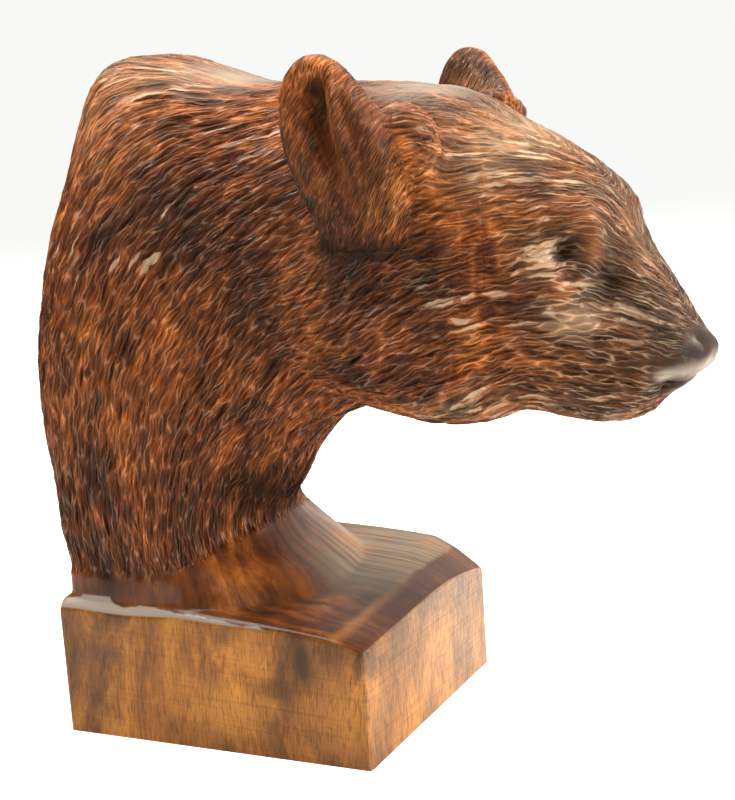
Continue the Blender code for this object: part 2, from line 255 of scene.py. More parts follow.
# The map of the fur that its finest hairs follow: its nodes from foot to nose and from the top to
# the underside, and the rounds of solving it
MAP_RINGS = 150
MAP_SPOKES = 64
MAP_ROUNDS = 1200
MAP_REACH = (0.02, 0.99)
MAP_NEIGHBOURS = 6
FARTHEST_PLACE = 900

# Coarse locks, which the solid has too
LOCK_LENGTH = 17.0
LOCK_WIDTH = 6.4
LOCK_DEPTH = 0.9
LOCK_GAPS = (0.6, 0.8)

# Size of a tool stroke at places seen from the side: place, length, width and depth
STROKES = (
    ((-45, 20), 11, 1.9, 1.00),
    ((-10, 25), 12, 1.9, 1.00),
    ((-50, 80), 12, 1.9, 1.05),
    ((-5, 70), 13, 1.9, 1.05),
    ((-45, 125), 15, 1.9, 1.05),
    ((-10, 125), 17, 1.9, 1.05),
    ((-20, 153), 12, 1.9, 0.55),
    ((25, 147), 12, 1.8, 0.60),
    ((60, 142), 10, 1.6, 0.40),
    ((95, 122), 9, 1.5, 0.45),
    ((25, 110), 16, 1.8, 1.00),
    ((55, 75), 13, 1.7, 0.95),
    ((80, 90), 10, 1.5, 0.80),
    ((75, 60), 14, 1.6, 0.90),
    ((95, 62), 13, 1.5, 0.80),
    ((110, 105), 7, 1.35, 0.50),
    ((73, 128), 8, 2.2, 1.10),
    ((120, 85), 7.5, 1.35, 0.65),
    ((118, 65), 10, 1.35, 0.65),
    ((131, 75), 6, 1.25, 0.50),
)
EAR_STROKE = (6.0, 1.3, 0.38)
# The cuts that the wood's own pattern adds between the strokes
CUT_WIDTH = 1.12
CUT_LENGTH = 8.5
EAR_CUT_SHARE = 0.55
STROKE_CANDIDATES = 60000
STROKE_JITTER = 4.5
STROKE_BEND = 0.22
STROKE_SOFTNESS = 8.0
STROKE_GAPS = (0.44, 0.80)
STROKE_SPREAD = (0.8, 1.2)
STROKE_DEPTH_SPREAD = (0.7, 1.15)
STROKE_TAPER = 0.6
# How much painted shade fills the ear's slit
SLIT_SHADE = 0.6
# The sweep to the plinth is bare below a height: that at the back, how much higher it is in front,
# where it begins to rise and over what length, and how high its edge waves
BARE_HEIGHT = 7.0
BARE_RISE = 9.0
BARE_RISE_START = -18
BARE_RISE_LENGTH = 22
BARE_WAVE = 0.8
# Where the bare nose begins at a height, and how far it slants
NOSE_START = 131.5
NOSE_HEIGHT = 72.0
NOSE_SLANT = 0.35
# How much the plinth's own skin is softened, and over what height the figure's full share begins
PLINTH_SOFTNESS = (0.15, 0.3)
SKIN_FADE = 0.004

# Smooth places on each side, cut less deeply: place, reach and how smooth
SMOOTH_PLACES = {
    "closed eye": ((112, 19.5, 100.5), (4.2, 6, 7), 0.85),
    "cheekbone's front": ((108.5, 25, 82.5), (5, 6, 4.2), 0.75),
    "lip behind the nose": ((130.5, 13, 67.5), (4.5, 6, 3.6), 0.75),
    "behind the ear": ((33, 37, 117), (5, 8, 7), 0.5),
    "top of the neck": ((-4, 8, 152), (16, 20, 6), 0.6),
}

# Tints on each side: place, reach and strength, added to what the block's own grain gives
# Pale: painted highlights and reflections where faces catch the light
PALE_HIGHLIGHT_PLACES = {
    "cheekbone's front": ((107.5, 26, 82.5), (6.5, 7, 4.8), 1.4),
    "chips behind the eye": ((99, 30, 99), (5, 6, 6), 0.5),
    "side of the muzzle": ((122, 17, 84), (9, 8, 9), 0.3),
    "bridge": ((118, 4, 105), (12, 9, 12), 0.15),
    "upper corner of the neck": ((-29, 33, 139), (20, 16, 15), 0.4),
    "inside of the ear": ((57, 38, 142), (12, 6, 14), 0.5),
    "forehead": ((88, 6, 131), (20, 22, 9), 0.8),
    "temple": ((86, 30, 124), (9, 12, 9), 0.7),
    "top of the neck": ((-12, 14, 151), (20, 18, 6), 0.5),
    "jaw": ((84, 30, 56), (26, 14, 7), 0.35),
}
WARM_PLACES = {
    "collar of the ear": ((72.5, 32, 128), (4.5, 10, 11), 0.8),
    "fur before the ear": ((79, 37, 114), (8, 10, 8), 0.4),
    "patch under the ear": ((63, 42, 110), (4.5, 6, 5), 0.1),
    "upper corner of the neck": ((-29, 33, 139), (20, 16, 15), 1.3),
    "closed eye": ((112.2, 19.5, 101.5), (2.2, 4, 6), 0.6),
    "lower lid": ((106, 28, 90), (6, 4, 3.5), 0.9),
    "brow": ((104, 20, 110), (16, 12, 5), 0.5),
    "side of the neck": ((-12, 46, 55), (16, 12, 34), 0.45),
    "cheek": ((70, 40, 80), (14, 12, 12), 0.25),
    "sweep of the throat": ((14, 19, 1), (16, 5, 7), 0.6),
}
# Dark: the nose pad's own dark wood, and painted shade in the nostril, mouth, eye hollows, round
# and under the ears, on the throat and at the neck's foot; darker also on the muzzle and ears
DARK_AND_SHADED_PLACES = {
    "nose pad": ((137, 5, 74), (3.8, 8, 6), 1.3),
    "nostril": ((135, 9.3, 70), (3.2, 3.6, 2.2), 1.3),
    "mouth": ((131, 10, 62.3), (2.6, 6, 1.5), 1.4),
    "rear corner of the eye": ((105.6, 25, 100.2), (2.4, 4, 3), 0.9),
    "front hollow of the eye": ((115.5, 19, 90), (4.6, 5, 4.4), 0.6),
    "hollow under the ear": ((60, 42, 101), (12, 12, 5), 0.7),
    "recess behind the ear": ((49, 44, 106), (6, 8, 4.5), 0.8),
    "side of the throat": ((6, 20, 27), (9, 18, 9), 0.5),
    "foot of the neck": ((-30, 43, 3), (24, 8, 5), 0.5),
    "cheek under the ear": ((44, 42, 86), (16, 12, 16), 0.35),
    "front lobe of the ear": ((63.5, 45, 127), (3.8, 8, 13), 0.65),
    "back of the ear": ((44, 46, 122), (5, 9, 13), 0.35),
    "muzzle": ((124, 15, 77), (11, 9, 13), 0.65),
    "front of the throat": ((7, 3, 24), (9, 14, 15), 0.6),
    "ear": ((61, 46, 114), (12, 10, 13), 0.50),
    "bar before the eye": ((116, 17, 98), (2.4, 5, 8), 0.5),
}

# Lines of tint on each side: the points they run through, half width and strength
WARM_LINES = {
    "front edge of the ear": (
        (
            (57, 49, 150.5),
            (62, 47, 145),
            (66.5, 45, 137),
            (69.5, 42, 127),
            (71, 40, 117),
        ),
        2.6,
        1.2,
    ),
    "ridge of the ear": (((54.6, 51, 146), (57.5, 48, 130), (60.5, 45, 118)), 1.6, 0.6),
    "rim of the ear": (
        ((43, 52, 138), (44, 53, 146), (48, 53, 152), (57, 50, 151)),
        2,
        1,
    ),
}
# Lines of painted shade: at the step at the collar's end and under the ear's foot
SHADE_LINES = {
    "end of the collar": (
        ((74.5, 27, 137), (77, 30, 128), (77.5, 35, 118)), 1.1, 0.9
    ),
    "foot of the ear": (((44, 40, 104), (53, 43, 103), (64, 41, 104)), 2.6, 0.6),
}
# Painted reflections along the nose pad's edge and the strip under the nose
GLINT_LINES = {
    "edge of the nose pad": (
        ((134.2, 8.3, 75.6), (135.6, 7.4, 72.8), (136.9, 6.5, 69.6)), 0.5, 1
    ),
    "strip under the nose": (
        (
            (127.8, 15, 65.2),
            (130, 13.9, 65.8),
            (132.8, 12.4, 66.2),
            (135.2, 9.4, 66.6),
            (138, 3, 67.2),
        ),
        1.4,
        1.3,
    ),
}
# Places on each side where a pale reflection is painted
GLINT_PLACES = {
    "flat top of the neck": ((4, 3, 149), (14, 13, 5), 0.6),
    "top of the crown": ((62, 6, 143), (16, 14, 4), 0.6),
}
# Places on each side where the pattern of the cuts is faint: place, reach and how faint
CALM_PLACES = {
    "flat top of the neck": ((4, 3, 149), (16, 16, 6), 1),
    "forehead": ((90, 6, 130), (17, 22, 9), 0.6),
    "temple": ((86, 30, 124), (9, 12, 9), 0.45),
    "crown": ((66, 5, 141), (20, 20, 6), 0.8),
    "bridge": ((121, 0, 99), (14, 6, 20), 0.6),
    "ear": ((54, 47, 130), (15, 10, 22), 0.6),
    "closed eye": ((112.2, 19.5, 101), (4, 5, 8), 0.8),
    "cheekbone's front": ((108.5, 25, 82.5), (6, 6, 5), 0.5),
    "nose": ((131.5, 13, 67.5), (5, 6, 4.6), 0.8),
}

# Places on each side where pale glints are painted on flat cuts, as painted highlights
GLINTING_CUT_PLACES = {
    "side of the neck": ((-45, 44, 108), (14, 12, 18), 0.75),
    "middle of the neck": ((-18, 44, 112), (18, 12, 18), 0.5),
    "behind the ear": ((26, 38, 134), (14, 16, 9), 0.8),
    "top of the neck": ((-15, 30, 148), (22, 18, 7), 0.7),
    "behind the eye": ((101, 28, 102), (5, 8, 7), 1.3),
    "cheekbone": ((101, 29, 90), (8, 8, 9), 1.3),
    "side of the muzzle": ((122, 16, 86), (8, 9, 10), 1.2),
    "jaw": ((90, 28, 57), (26, 14, 7), 1),
    "cheek": ((78, 37, 88), (12, 12, 10), 0.7),
    "forehead": ((92, 20, 122), (16, 18, 9), 0.8),
}

# Figure of the plinth's near side: place, reach, share and colour
SIDE_FIGURE = (
    ((0.004, -0.044, 0.014), (0.018, 0.020, 0.011), 0.60, (208, 140, 60)),
    ((0.017, -0.044, 0.029), (0.006, 0.020, 0.015), 0.55, (206, 136, 58)),
    ((0.036, -0.044, 0.012), (0.014, 0.020, 0.012), 0.35, (200, 130, 56)),
    ((-0.042, -0.044, 0.026), (0.020, 0.020, 0.028), 0.40, (88, 62, 36)),
    ((0.022, -0.044, 0.021), (0.009, 0.020, 0.004), 0.55, (74, 50, 30)),
    ((0.031, -0.044, 0.030), (0.0036, 0.020, 0.0095), 0.90, (50, 36, 26)),
    ((0.044, -0.044, 0.017), (0.011, 0.020, 0.015), 0.45, (206, 138, 66)),
)
# Where a pale reflection is painted on the plinth's top: place and reach
FAR_TOP_REFLECTION = ((0.024, 0.022, 0.042), (0.030, 0.034, 0.020))

# The grain stands upright in the block, a little turned
BLOCK_TURN = (0.03, -0.05, 0.06)
# Layers of the wood's pattern: scale along x, y and z, detail and roughness
LAYERS = {
    "slow waves": ((0.020, 0.020, 0.011), 2.0, 0.55),
    "waves": ((0.075, 0.075, 0.030), 2.0, 0.55),
    "streaks": ((0.55, 0.75, 0.055), 3.0, 0.60),
    "flecks": ((2.4, 2.4, 0.22), 2.0, 0.60),
    "clouds": ((0.060, 0.060, 0.035), 3.0, 0.60),
    "saw marks": ((0.02, 0.02, 1.7), 2.0, 0.55),
    "pores": ((3.2, 3.2, 0.35), 3.0, 0.65),
    "ragged edge": ((110, 110, 110), 2.0, 0.55),
    "wandering edge": ((110, 110, 110), 3.0, 0.55),
    "long lines": ((14, 420, 14), 4.0, 0.70),
    "sway of the cuts": ((140, 140, 140), 2.0, 0.50),
    "broken crests": ((0.9, 0.9, 1), 1.0, 0.55),
}
GROWTH_SCALE = (0.012, 0.22, 0.004)
GROWTH_BEND = 34.0
GROWTH_RIPPLE = 7.0
FIGURE_SHARES = (0.46, 0.12, 0.42)
FLAME_SHARE = 0.6

# Where each mask of the wood begins and where it is full, in metres or in parts of 1
FADES = {
    "plinth's sides": (PLINTH_WIDTH / 2 - 0.0005, PLINTH_WIDTH / 2 - 0.0002),
    "plinth's ends": (PLINTH_LENGTH / 2 - 0.0006, PLINTH_LENGTH / 2 - 0.0003),
    "plinth's height": (PLINTH_HEIGHT + 0.0015, PLINTH_HEIGHT),
    "near bevel": (-0.0001, 0.0003),
    "near bevel's height": (PLINTH_HEIGHT + 0.0002, PLINTH_HEIGHT - 0.0006),
    "face": (0.086, 0.112),
    "plinth's top": (0.0475, 0.0445),
    "flecks": (0.56, 0.72),
    "flecks of the sides": (0.50, 0.62),
    "saw marks": (0.50, 0.66),
    "to the far side": (-0.044, 0.030),
    "to the near side": (0.020, -0.030),
    # painted sheen on the plinth's front face
    "sheen of the front face": (0.0495, 0.0502),
    "front bevel": (0.0, 0.0010),
    "behind the front bevel": (0.0010, -0.0010),
    # painted highlight along the front bevel's inner edge
    "highlight on the front bevel's rim": (0.0032, 0.0),
    "low part of the top": (0.0440, 0.0425),
    "long lines": (0.25, 0.62),
    "broken crests": (0.40, 0.64),
    # painted highlight along the edges of the small cuts
    "crests": (0.14, 0.02),
    # painted shade in the middles of the small cuts
    "shade in the cuts": (0.08, 0.40),
    # painted shade in the bottoms of the strokes, by how deep they cut
    "strokes": (0.30, 0.95),
    # painted highlight: pale glints on some flat cuts
    "glints on flat cuts": (1.01, 1.05),
    "flat of a chip": (0.07, 0.17),
    "floor": (0.25, 1.6),
    "bright side of the room": (-0.05, 0.80),
    "soft ball": (1.3, 0.3),
}

# Tints of the wood: the most that each covers, and its colour
TINTS = {
    "face": (0.58, (84, 62, 43)),
    "flecks": (0.40, (38, 18, 10)),
    # painted sheen of the bright room on the plinth's front face
    "sheen of the front face": (1.0, (196, 174, 152)),
    "flecks of the sides": (0.45, (66, 36, 18)),
    "saw marks": (0.25, (86, 50, 28)),
    "front bevel": (0.45, (78, 42, 26)),
    # painted highlight along the front bevel's inner edge
    "highlight on the front bevel's rim": (0.45, (168, 108, 48)),
    # painted reflection of the bright room on the top's far part
    "reflection on the far top": (0.60, (176, 154, 122)),
    "warm": (0.60, (168, 92, 34)),
    # painted highlights and reflections
    "pale": (0.55, (190, 158, 124)),
    # painted shade in the bottoms of the strokes
    "strokes": (0.50, (34, 17, 8)),
    # painted shade in the middles of the small cuts
    "shade in the cuts": (0.52, (40, 20, 10)),
    # painted highlight: pale glints on some flat cuts
    "glints on flat cuts": (0.75, (206, 174, 142)),
    # the nose's dark wood and painted shade in hollows
    "dark": (0.85, (30, 19, 13)),
    # painted highlight on the bevel of the top's near edge
    "near bevel": (0.75, (158, 148, 136)),
    # painted reflection
    "glint": (0.70, (190, 180, 164)),
}
CARVED_COLOURS = (
    (0.38, (46, 25, 15)),
    (0.46, (78, 42, 22)),
    (0.52, (108, 58, 27)),
    (0.58, (142, 80, 35)),
    (0.66, (178, 112, 52)),
)
SAWN_COLOURS = (
    (0.38, (66, 42, 22)),
    (0.45, (114, 72, 34)),
    (0.52, (158, 98, 38)),
    (0.60, (202, 132, 52)),
)
# What the wood is multiplied by: on the plinth's top, on the crests for their painted highlight,
# and by each stroke's and each cut's own tone
TOP_SHADE = (0.72, 0.74, 0.68, 1)
CREST_HIGHLIGHT = (2.3, 2.35, 2.4, 1)
STROKE_TONES = ((0.0, (0.60, 0.54, 0.52, 1)), (0.5, (1, 1, 1, 1)), (1.0, (1.3, 1.16, 1.0, 1)))
CUT_TONES = ((0.0, (0.55, 0.52, 0.50, 1)), (0.5, (1, 1, 1, 1)), (1.0, (1.55, 1.48, 1.36, 1)))
# The cream of the painted highlight on the crests, as a share everywhere and a further share on the
# face
HIGHLIGHT_CREAM = (210, 186, 152)
HIGHLIGHT_CREAM_SHARES = (0.18, 0.40)
# How much of the painted highlight the crests take
CREST_HIGHLIGHT_SHARE = 0.75
CUT_GLINT_SHARE = 0.30
CUT_SWAY = 3.0
CUT_RELIEF = 1.3
PORE_RELIEF = 0.12
# The painted sheen on the plinth's front face, as a share everywhere and a further share at its far
# side
FRONT_SHEEN_SHARES = (0.10, 0.25)
# Where the bevel of the top's near edge ends, how fast it narrows and how ragged its edge is
BEVEL_END = 0.033
BEVEL_NARROWING = 0.036
BEVEL_RAGGED = 0.003
FRONT_EDGE = 0.0440
FRONT_EDGE_WANDER = 0.004
# Lacquer
GLOSS = 0.08
CREST_GLOSS = 0.5
BARE_GLOSS = 0.30
DULLED_ABOVE = 1.15
ROUGHNESS = (0.42, 0.62)
LACQUER = {"Specular IOR Level": 0.10, "Coat Roughness": 0.12, "Coat IOR": 1.45}

# The room is bright behind, above and to the right of the bust, and dim on the camera's side
BRIGHT_WAY = (0.38, 0.68, 0.63)
ROOM_SEEN = (0.94, 0.94, 0.925, 1.0)
ROOM_DIM = (0.06, 0.057, 0.053, 1)
ROOM_BRIGHT = (1.2, 1.18, 1.12, 1)
# Softboxes: place, size and watts, with their colour and what they face
SOFTBOXES = {
    "upper left softbox": ((-0.56, -0.34, 0.98), (0.55, 0.55), 15.0),
    "right softbox": ((0.95, 0.10, 0.40), (0.5, 0.7), 12.0),
    "overhead softbox": ((0.0, 0.25, 1.0), (0.7, 0.5), 7.0),
}
LAMP_COLOUR = (1.0, 0.97, 0.91)
LAMP_AIM = (0.03, 0.0, 0.11)
FLOOR_RADIUS = 2.5
FLOOR_PAINT = {
    "Base Color": (0.80, 0.80, 0.79, 1.0),
    "Roughness": 0.6,
    "Specular IOR Level": 0.1,
    "Emission Color": (1.0, 1.0, 0.985, 1.0),
}
FLOOR_GLOW = 0.6

# Camera: 36 mm sensor, framed for a picture of 735 by 800
CAMERA_PLACE = (0.25228, -0.43972, 0.2000)
CAMERA_LENS = 76.6
CAMERA_YAW = 26.26
CAMERA_PITCH = 11.96
CAMERA_ROLL = -3.83


def deselect_all():
    bpy.ops.object.select_all(action="DESELECT")


def vertices_of(mesh):
    points = np.empty(len(mesh.vertices) * 3)
    mesh.vertices.foreach_get("co", points)
    return points.reshape(-1, 3)


def normals_of(mesh):
    normals = np.empty(len(mesh.vertices) * 3)
    mesh.vertices.foreach_get("normal", normals)
    return normals.reshape(-1, 3)


def set_vertices(mesh, points):
    mesh.vertices.foreach_set("co", points.astype(np.float32).ravel())
    mesh.update()


def new_sphere(segments, rings):
    deselect_all()
    bpy.ops.mesh.primitive_uv_sphere_add(segments=segments, ring_count=rings, radius=1)
    return bpy.context.object


def in_metres(x, y, height):
    """Points in metres from figure units."""
    return np.stack([x * UNIT + FIGURE_FORWARD, y * UNIT, height * UNIT + PLINTH_HEIGHT], axis=1)


def in_figure(points):
    """Figure units, with the far side mirrored onto the near one: x, distance aside, height."""
    x = (points[:, 0] - FIGURE_FORWARD) / UNIT
    height = (points[:, 2] - PLINTH_HEIGHT) / UNIT
    return np.stack([x, np.abs(points[:, 1]) / UNIT, height], axis=1)


def along(values, t):
    """Catmull-Rom through the rows of values, with t counted in stations."""
    values = np.asarray(values, float)
    last = len(values) - 1
    i = np.clip(np.floor(t).astype(int), 0, last - 1)
    f = (t - i)[:, None]
    before = values[np.clip(i - 1, 0, last)]
    start = values[i]
    end = values[i + 1]
    after = values[np.clip(i + 2, 0, last)]
    bend = 2 * before - 5 * start + 4 * end - after
    twist = 3 * start - before - 3 * end + after
    return 0.5 * (2 * start + (end - before) * f + bend * f**2 + twist * f**3)


def rails():
    """Outer points, inner points, half widths, squareness and sag of every station, in metres."""
    outer = []
    inner = []
    shape = []
    for row in (FOOT, *STATIONS, NOSE_TIP):
        (back_x, back_z), (front_x, front_z), width, outer_square, inner_square, sag = row
        shift = 0.0 if row is FOOT else FIGURE_FORWARD
        outer.append((back_x * UNIT + shift, back_z * UNIT))
        inner.append((front_x * UNIT + shift, front_z * UNIT))
        shape.append((width * UNIT, outer_square, inner_square, sag))
    return np.array(outer), np.array(inner), np.array(shape)


def lofted(ring, angle):
    """Points of the figure at shares of the way from the foot to the nose and angles round it."""
    outer, inner, shape = rails()
    t = ring * (len(outer) - 1)
    back = along(outer, t)
    front = along(inner, t)
    width, outer_square, inner_square, sag = along(shape, t).T
    middle = (back + front) / 2
    reach = (back - front) / 2
    power = 2 / np.where(np.cos(angle) > 0, outer_square, inner_square)
    up = np.sign(np.cos(angle)) * np.abs(np.cos(angle)) ** power
    side = np.sign(np.sin(angle)) * np.abs(np.sin(angle)) ** power
    up = up - sag * (1 - up**2)
    closing = np.clip((1 - ring) * len(outer), 0, 1) * np.clip(ring * FOOT_OPENING, 0, 1)
    x = middle[:, 0] + reach[:, 0] * up * closing
    z = middle[:, 1] + reach[:, 1] * up * closing + PLINTH_HEIGHT
    return np.stack([x, -width * side * closing, z], axis=1)


def make_head_and_neck():
    """A sphere whose rings are laid between the two rails, from the foot to the nose."""
    body = new_sphere(*HEAD_SPHERE)
    points = vertices_of(body.data)
    ring = 1 - np.arccos(np.clip(points[:, 2], -1, 1)) / math.pi
    set_vertices(body.data, lofted(ring, np.arctan2(points[:, 1], points[:, 0])))
    return body


def ear_side(height):
    """How far aside the ear's middle lies at a height of the figure."""
    low, high = EAR_LEVELS[0][0], EAR_LEVELS[-1][0]
    return EAR_FOOT_SIDE + (EAR_TIP_SIDE - EAR_FOOT_SIDE) * (height - low) / (high - low)


def make_ear(side):
    """A sphere laid between the ear's back and front edges, level by level."""
    ear = new_sphere(*EAR_SPHERE)
    a, b, c = vertices_of(ear.data).T
    levels = np.array(EAR_LEVELS)
    t = (c + 1) / 2 * (len(levels) - 1)
    height, back, front, thick = along(levels, t).T
    girth = np.maximum(np.hypot(a, b), 1e-6)
    a = a / girth
    b = b / girth
    closing = np.clip((c + 1) * EAR_OPENING, 0, 1)
    middle = (back + front) / 2
    half = (front - back) / 2 * closing
    aside = ear_side(height) - EAR_TURN * half * a
    aside += thick * closing * np.sign(b) * np.abs(b) ** EAR_FLATNESS
    forward = half * a
    if side > 0:
        forward = FAR_EAR_BROADER * half * a
        height = height - (FAR_EAR_DROP + FAR_EAR_TILT * half * a) * (c + 1) / 2
    shift = FAR_EAR_FORWARD if side > 0 else 0.0
    set_vertices(ear.data, in_metres(middle + forward + shift, side * aside, height))
    if side > 0:
        ear.data.flip_normals()
    return ear


def make_collar(side):
    """A ball of fur between the ear's front edge and the head."""
    collar = new_sphere(*COLLAR_SPHERE)
    place, reach = np.array(COLLAR)
    x, aside, height = (place + vertices_of(collar.data) * reach).T
    set_vertices(collar.data, in_metres(x, side * aside, height))
    if side < 0:
        collar.data.flip_normals()
    return collar


def near_bevel_width(x):
    """The width of the bevel along the top's near edge, which narrows to the front."""
    forward = np.clip((x + PLINTH_LENGTH / 2) / PLINTH_LENGTH, 0, 1)
    start, narrowing, least = NEAR_BEVEL_TAPER
    height, length = NEAR_BEVEL_WAVE
    taper = np.clip(start - forward * narrowing, least, 1)
    return NEAR_BEVEL * taper * (1 + height * np.sin(x / length))


def plinth_top(x, y):
    """The height of the plinth's top, which falls to the front and to the far front corner."""
    forward = np.clip((x + PLINTH_LENGTH / 2) / PLINTH_LENGTH, 0, 1)
    aside = np.clip(y / (PLINTH_WIDTH / 2), 0, 1)
    corner = aside**2 * np.clip(forward * CORNER_FROM[1] - CORNER_FROM[0], 0, 1)
    level = PLINTH_HEIGHT + PLINTH_SIDE_RISE * y / (PLINTH_WIDTH / 2)
    front_bevel = FRONT_BEVEL_SLOPE * np.clip(x - PLINTH_LENGTH / 2 + FRONT_BEVEL, 0, None)
    near_bevel = np.clip(near_bevel_width(x) - (y + PLINTH_WIDTH / 2), 0, None)
    fallen = level - PLINTH_FRONT_DROP * forward**3 - PLINTH_CORNER_DROP * corner
    return fallen - front_bevel - near_bevel


def make_plinth():
    """A block with a sculpted top, reaching below z = 0, where the finished piece is cut off."""
    deselect_all()
    bpy.ops.mesh.primitive_cube_add(size=2)
    block = bpy.context.object
    bpy.ops.object.mode_set(mode="EDIT")
    bpy.ops.mesh.select_all(action="SELECT")
    bpy.ops.mesh.subdivide(number_cuts=PLINTH_CUTS)
    bpy.ops.object.mode_set(mode="OBJECT")
    points = vertices_of(block.data)
    x = points[:, 0] * PLINTH_LENGTH / 2
    y = points[:, 1] * PLINTH_WIDTH / 2
    edge = np.minimum(PLINTH_LENGTH / 2 - np.abs(x), PLINTH_WIDTH / 2 - np.abs(y))
    rounding = np.clip(1 - edge / PLINTH_EDGE_ROUND, 0, 1)
    top = plinth_top(x, y) - PLINTH_EDGE_ROUND * (1 - np.sqrt(1 - rounding**2 * 0.999)) * 0.6
    rise = (points[:, 2] + 1) / 2
    z = PLINTH_BELOW + (top - PLINTH_BELOW) * rise
    set_vertices(block.data, np.stack([x, y, z], axis=1))
    return block


def join_as_one(pieces, name):
    """Overlapping closed pieces made one skin by a voxel remesh."""
    deselect_all()
    for piece in pieces:
        piece.select_set(True)
    bust = pieces[0]
    bpy.context.view_layer.objects.active = bust
    bpy.ops.object.join()
    bust.name = name
    bust.data.name = name
    remesh = bust.modifiers.new("one skin", "REMESH")
    remesh.mode = "VOXEL"
    remesh.voxel_size = VOXEL
    bpy.ops.object.modifier_apply(modifier=remesh.name)
    return bust


def edges_of(mesh):
    ends = np.empty(len(mesh.edges) * 2, np.int64)
    mesh.edges.foreach_get("vertices", ends)
    return ends.reshape(-1, 2)


def soften(points, ends, weight, rounds):
    """Moves each point towards the mean of its neighbours, by its weight."""
    count = np.bincount(ends.ravel(), minlength=len(points))[:, None]
    for _ in range(rounds):
        total = np.zeros_like(points)
        for axis in range(3):
            total[:, axis] += np.bincount(ends[:, 0], points[ends[:, 1], axis], len(points))
            total[:, axis] += np.bincount(ends[:, 1], points[ends[:, 0], axis], len(points))
        points = points + (total / count - points) * weight[:, None]
    return points


def skin_weight(points):
    """1 on the figure, falling to a little on the plinth's sides and edges."""
    above = points[:, 2] - plinth_top(points[:, 0], points[:, 1])
    least, at_top = PLINTH_SOFTNESS
    return np.clip(above / SKIN_FADE + at_top, least, 1)


def swell(places, figure):
    """The sum of soft round bumps, each a place, a reach along x, y and z, and an amount."""
    total = np.zeros(len(figure))
    for place, reach, amount in places.values():
        near = ((figure - np.array(place)) / np.array(reach)) ** 2
        total += amount * np.exp(-near.sum(axis=1))
    return total


def gap_to_line(figure, corners):
    """The distance of each point to a line through the corners, and how far along it that is."""
    nearest = np.full(len(figure), np.inf)
    share = np.zeros(len(figure))
    for number, (start, end) in enumerate(zip(corners[:-1], corners[1:])):
        start = np.array(start)
        run = np.array(end) - start
        t = np.clip((figure - start) @ run / (run @ run), 0, 1)
        gap = np.linalg.norm(figure - start - np.outer(t, run), axis=1)
        share = np.where(gap < nearest, (number + t) / (len(corners) - 1), share)
        nearest = np.minimum(nearest, gap)
    return nearest, share


def drawn(lines, figure):
    """The sum of soft lines, each the points it runs through, a half width and an amount."""
    total = np.zeros(len(figure))
    for corners, half_width, amount in lines.values():
        gap, _ = gap_to_line(figure, corners)
        total += amount * np.exp(-((gap / half_width) ** 2))
    return total


def model_forms(points, normals):
    """Raises and sinks the modelled forms and thin ridges along the surface's normals."""
    figure = in_figure(points)
    amount = swell(FORMS, figure) + drawn(RIDGES, figure)
    return points + normals * (amount * UNIT)[:, None]


def model_ears(points, normals):
    """Models each ear's outer side: a rim, a slit in a hollow, a ridge and a front lobe."""
    figure = in_figure(points)
    side = np.sign(points[:, 1])
    shift = np.where(side > 0, FAR_EAR_FORWARD, 0.0)
    seen = np.stack([figure[:, 0] - shift, figure[:, 2]], axis=1)
    outside = np.clip((figure[:, 1] - ear_side(figure[:, 2]) + 2.0) / 3.0, 0, 1)
    facing = np.clip(normals[:, 1] * side * 3, 0, 1) * outside
    modelled = points.copy()
    for name, (line, start_width, end_width, height) in EAR_RELIEF.items():
        gap, share = gap_to_line(seen, line)
        form = np.clip(1 - (gap / (start_width + (end_width - start_width) * share)) ** 2, 0, 1)
        form *= 1 - EAR_RELIEF_FADE * share**3
        modelled[:, 1] += side * form * facing * height * UNIT
        if name == "slit":
            slit = form * facing
    return modelled, slit


def ear_share(points):
    """1 on the ears, falling to 0 on the head round them."""
    figure = in_figure(points)
    shift = np.where(points[:, 1] > 0, FAR_EAR_FORWARD, 0.0)
    levels = np.array(EAR_LEVELS)
    back = np.interp(figure[:, 2], levels[:, 0], levels[:, 1]) + shift
    front = np.interp(figure[:, 2], levels[:, 0], levels[:, 2]) + shift
    behind = figure[:, 0] - back + EAR_FUR_PAST
    inside = np.minimum(behind, front + EAR_FUR_PAST - figure[:, 0]) / 3.0
    aside = (figure[:, 1] - ear_side(figure[:, 2]) + EAR_FUR_INSIDE) / 3.0
    above = (figure[:, 2] - EAR_FUR_FOOT) / 6.0
    return np.clip(np.minimum(np.minimum(inside, aside), above), 0, 1)


def between(table, figure, softness):
    """How much each row of a table counts at each point seen from the side, by nearness."""
    places = np.array([row[0] for row in table])
    gaps = figure[:, None, [0, 2]] - places[None]
    pull = 1 / ((gaps**2).sum(axis=2) + softness**2) ** 1.5
    return pull / pull.sum(axis=1, keepdims=True)


def fur_lie(points, normals, on_ear):
    """Unit vectors along the hair in the surface, from the snout to the plinth."""
    pull = between(COMBS, in_figure(points), COMB_SOFTNESS)
    slopes = np.radians([row[1] for row in COMBS])
    tilt = math.radians(EAR_COMB)
    cosine = pull @ np.cos(slopes) * (1 - on_ear) + math.cos(tilt) * on_ear
    sine = pull @ np.sin(slopes) * (1 - on_ear) + math.sin(tilt) * on_ear
    lie = np.stack([-cosine, FUR_ASIDE * np.sign(points[:, 1]), -sine], axis=1)
    lie -= normals * (lie * normals).sum(axis=1, keepdims=True)
    return lie / np.linalg.norm(lie, axis=1, keepdims=True)


def spread(level, weights):
    """How much each node of a grid stands above its neighbours, weighed."""
    over = 1e-9 * level
    for axis, weight in enumerate(weights):
        rise = weight * np.diff(level, axis=axis)
        ahead = (slice(1, None),) if axis == 0 else (slice(None), slice(1, None))
        behind = (slice(None, -1),) if axis == 0 else (slice(None), slice(None, -1))
        over[ahead] += rise
        over[behind] -= rise
    return over


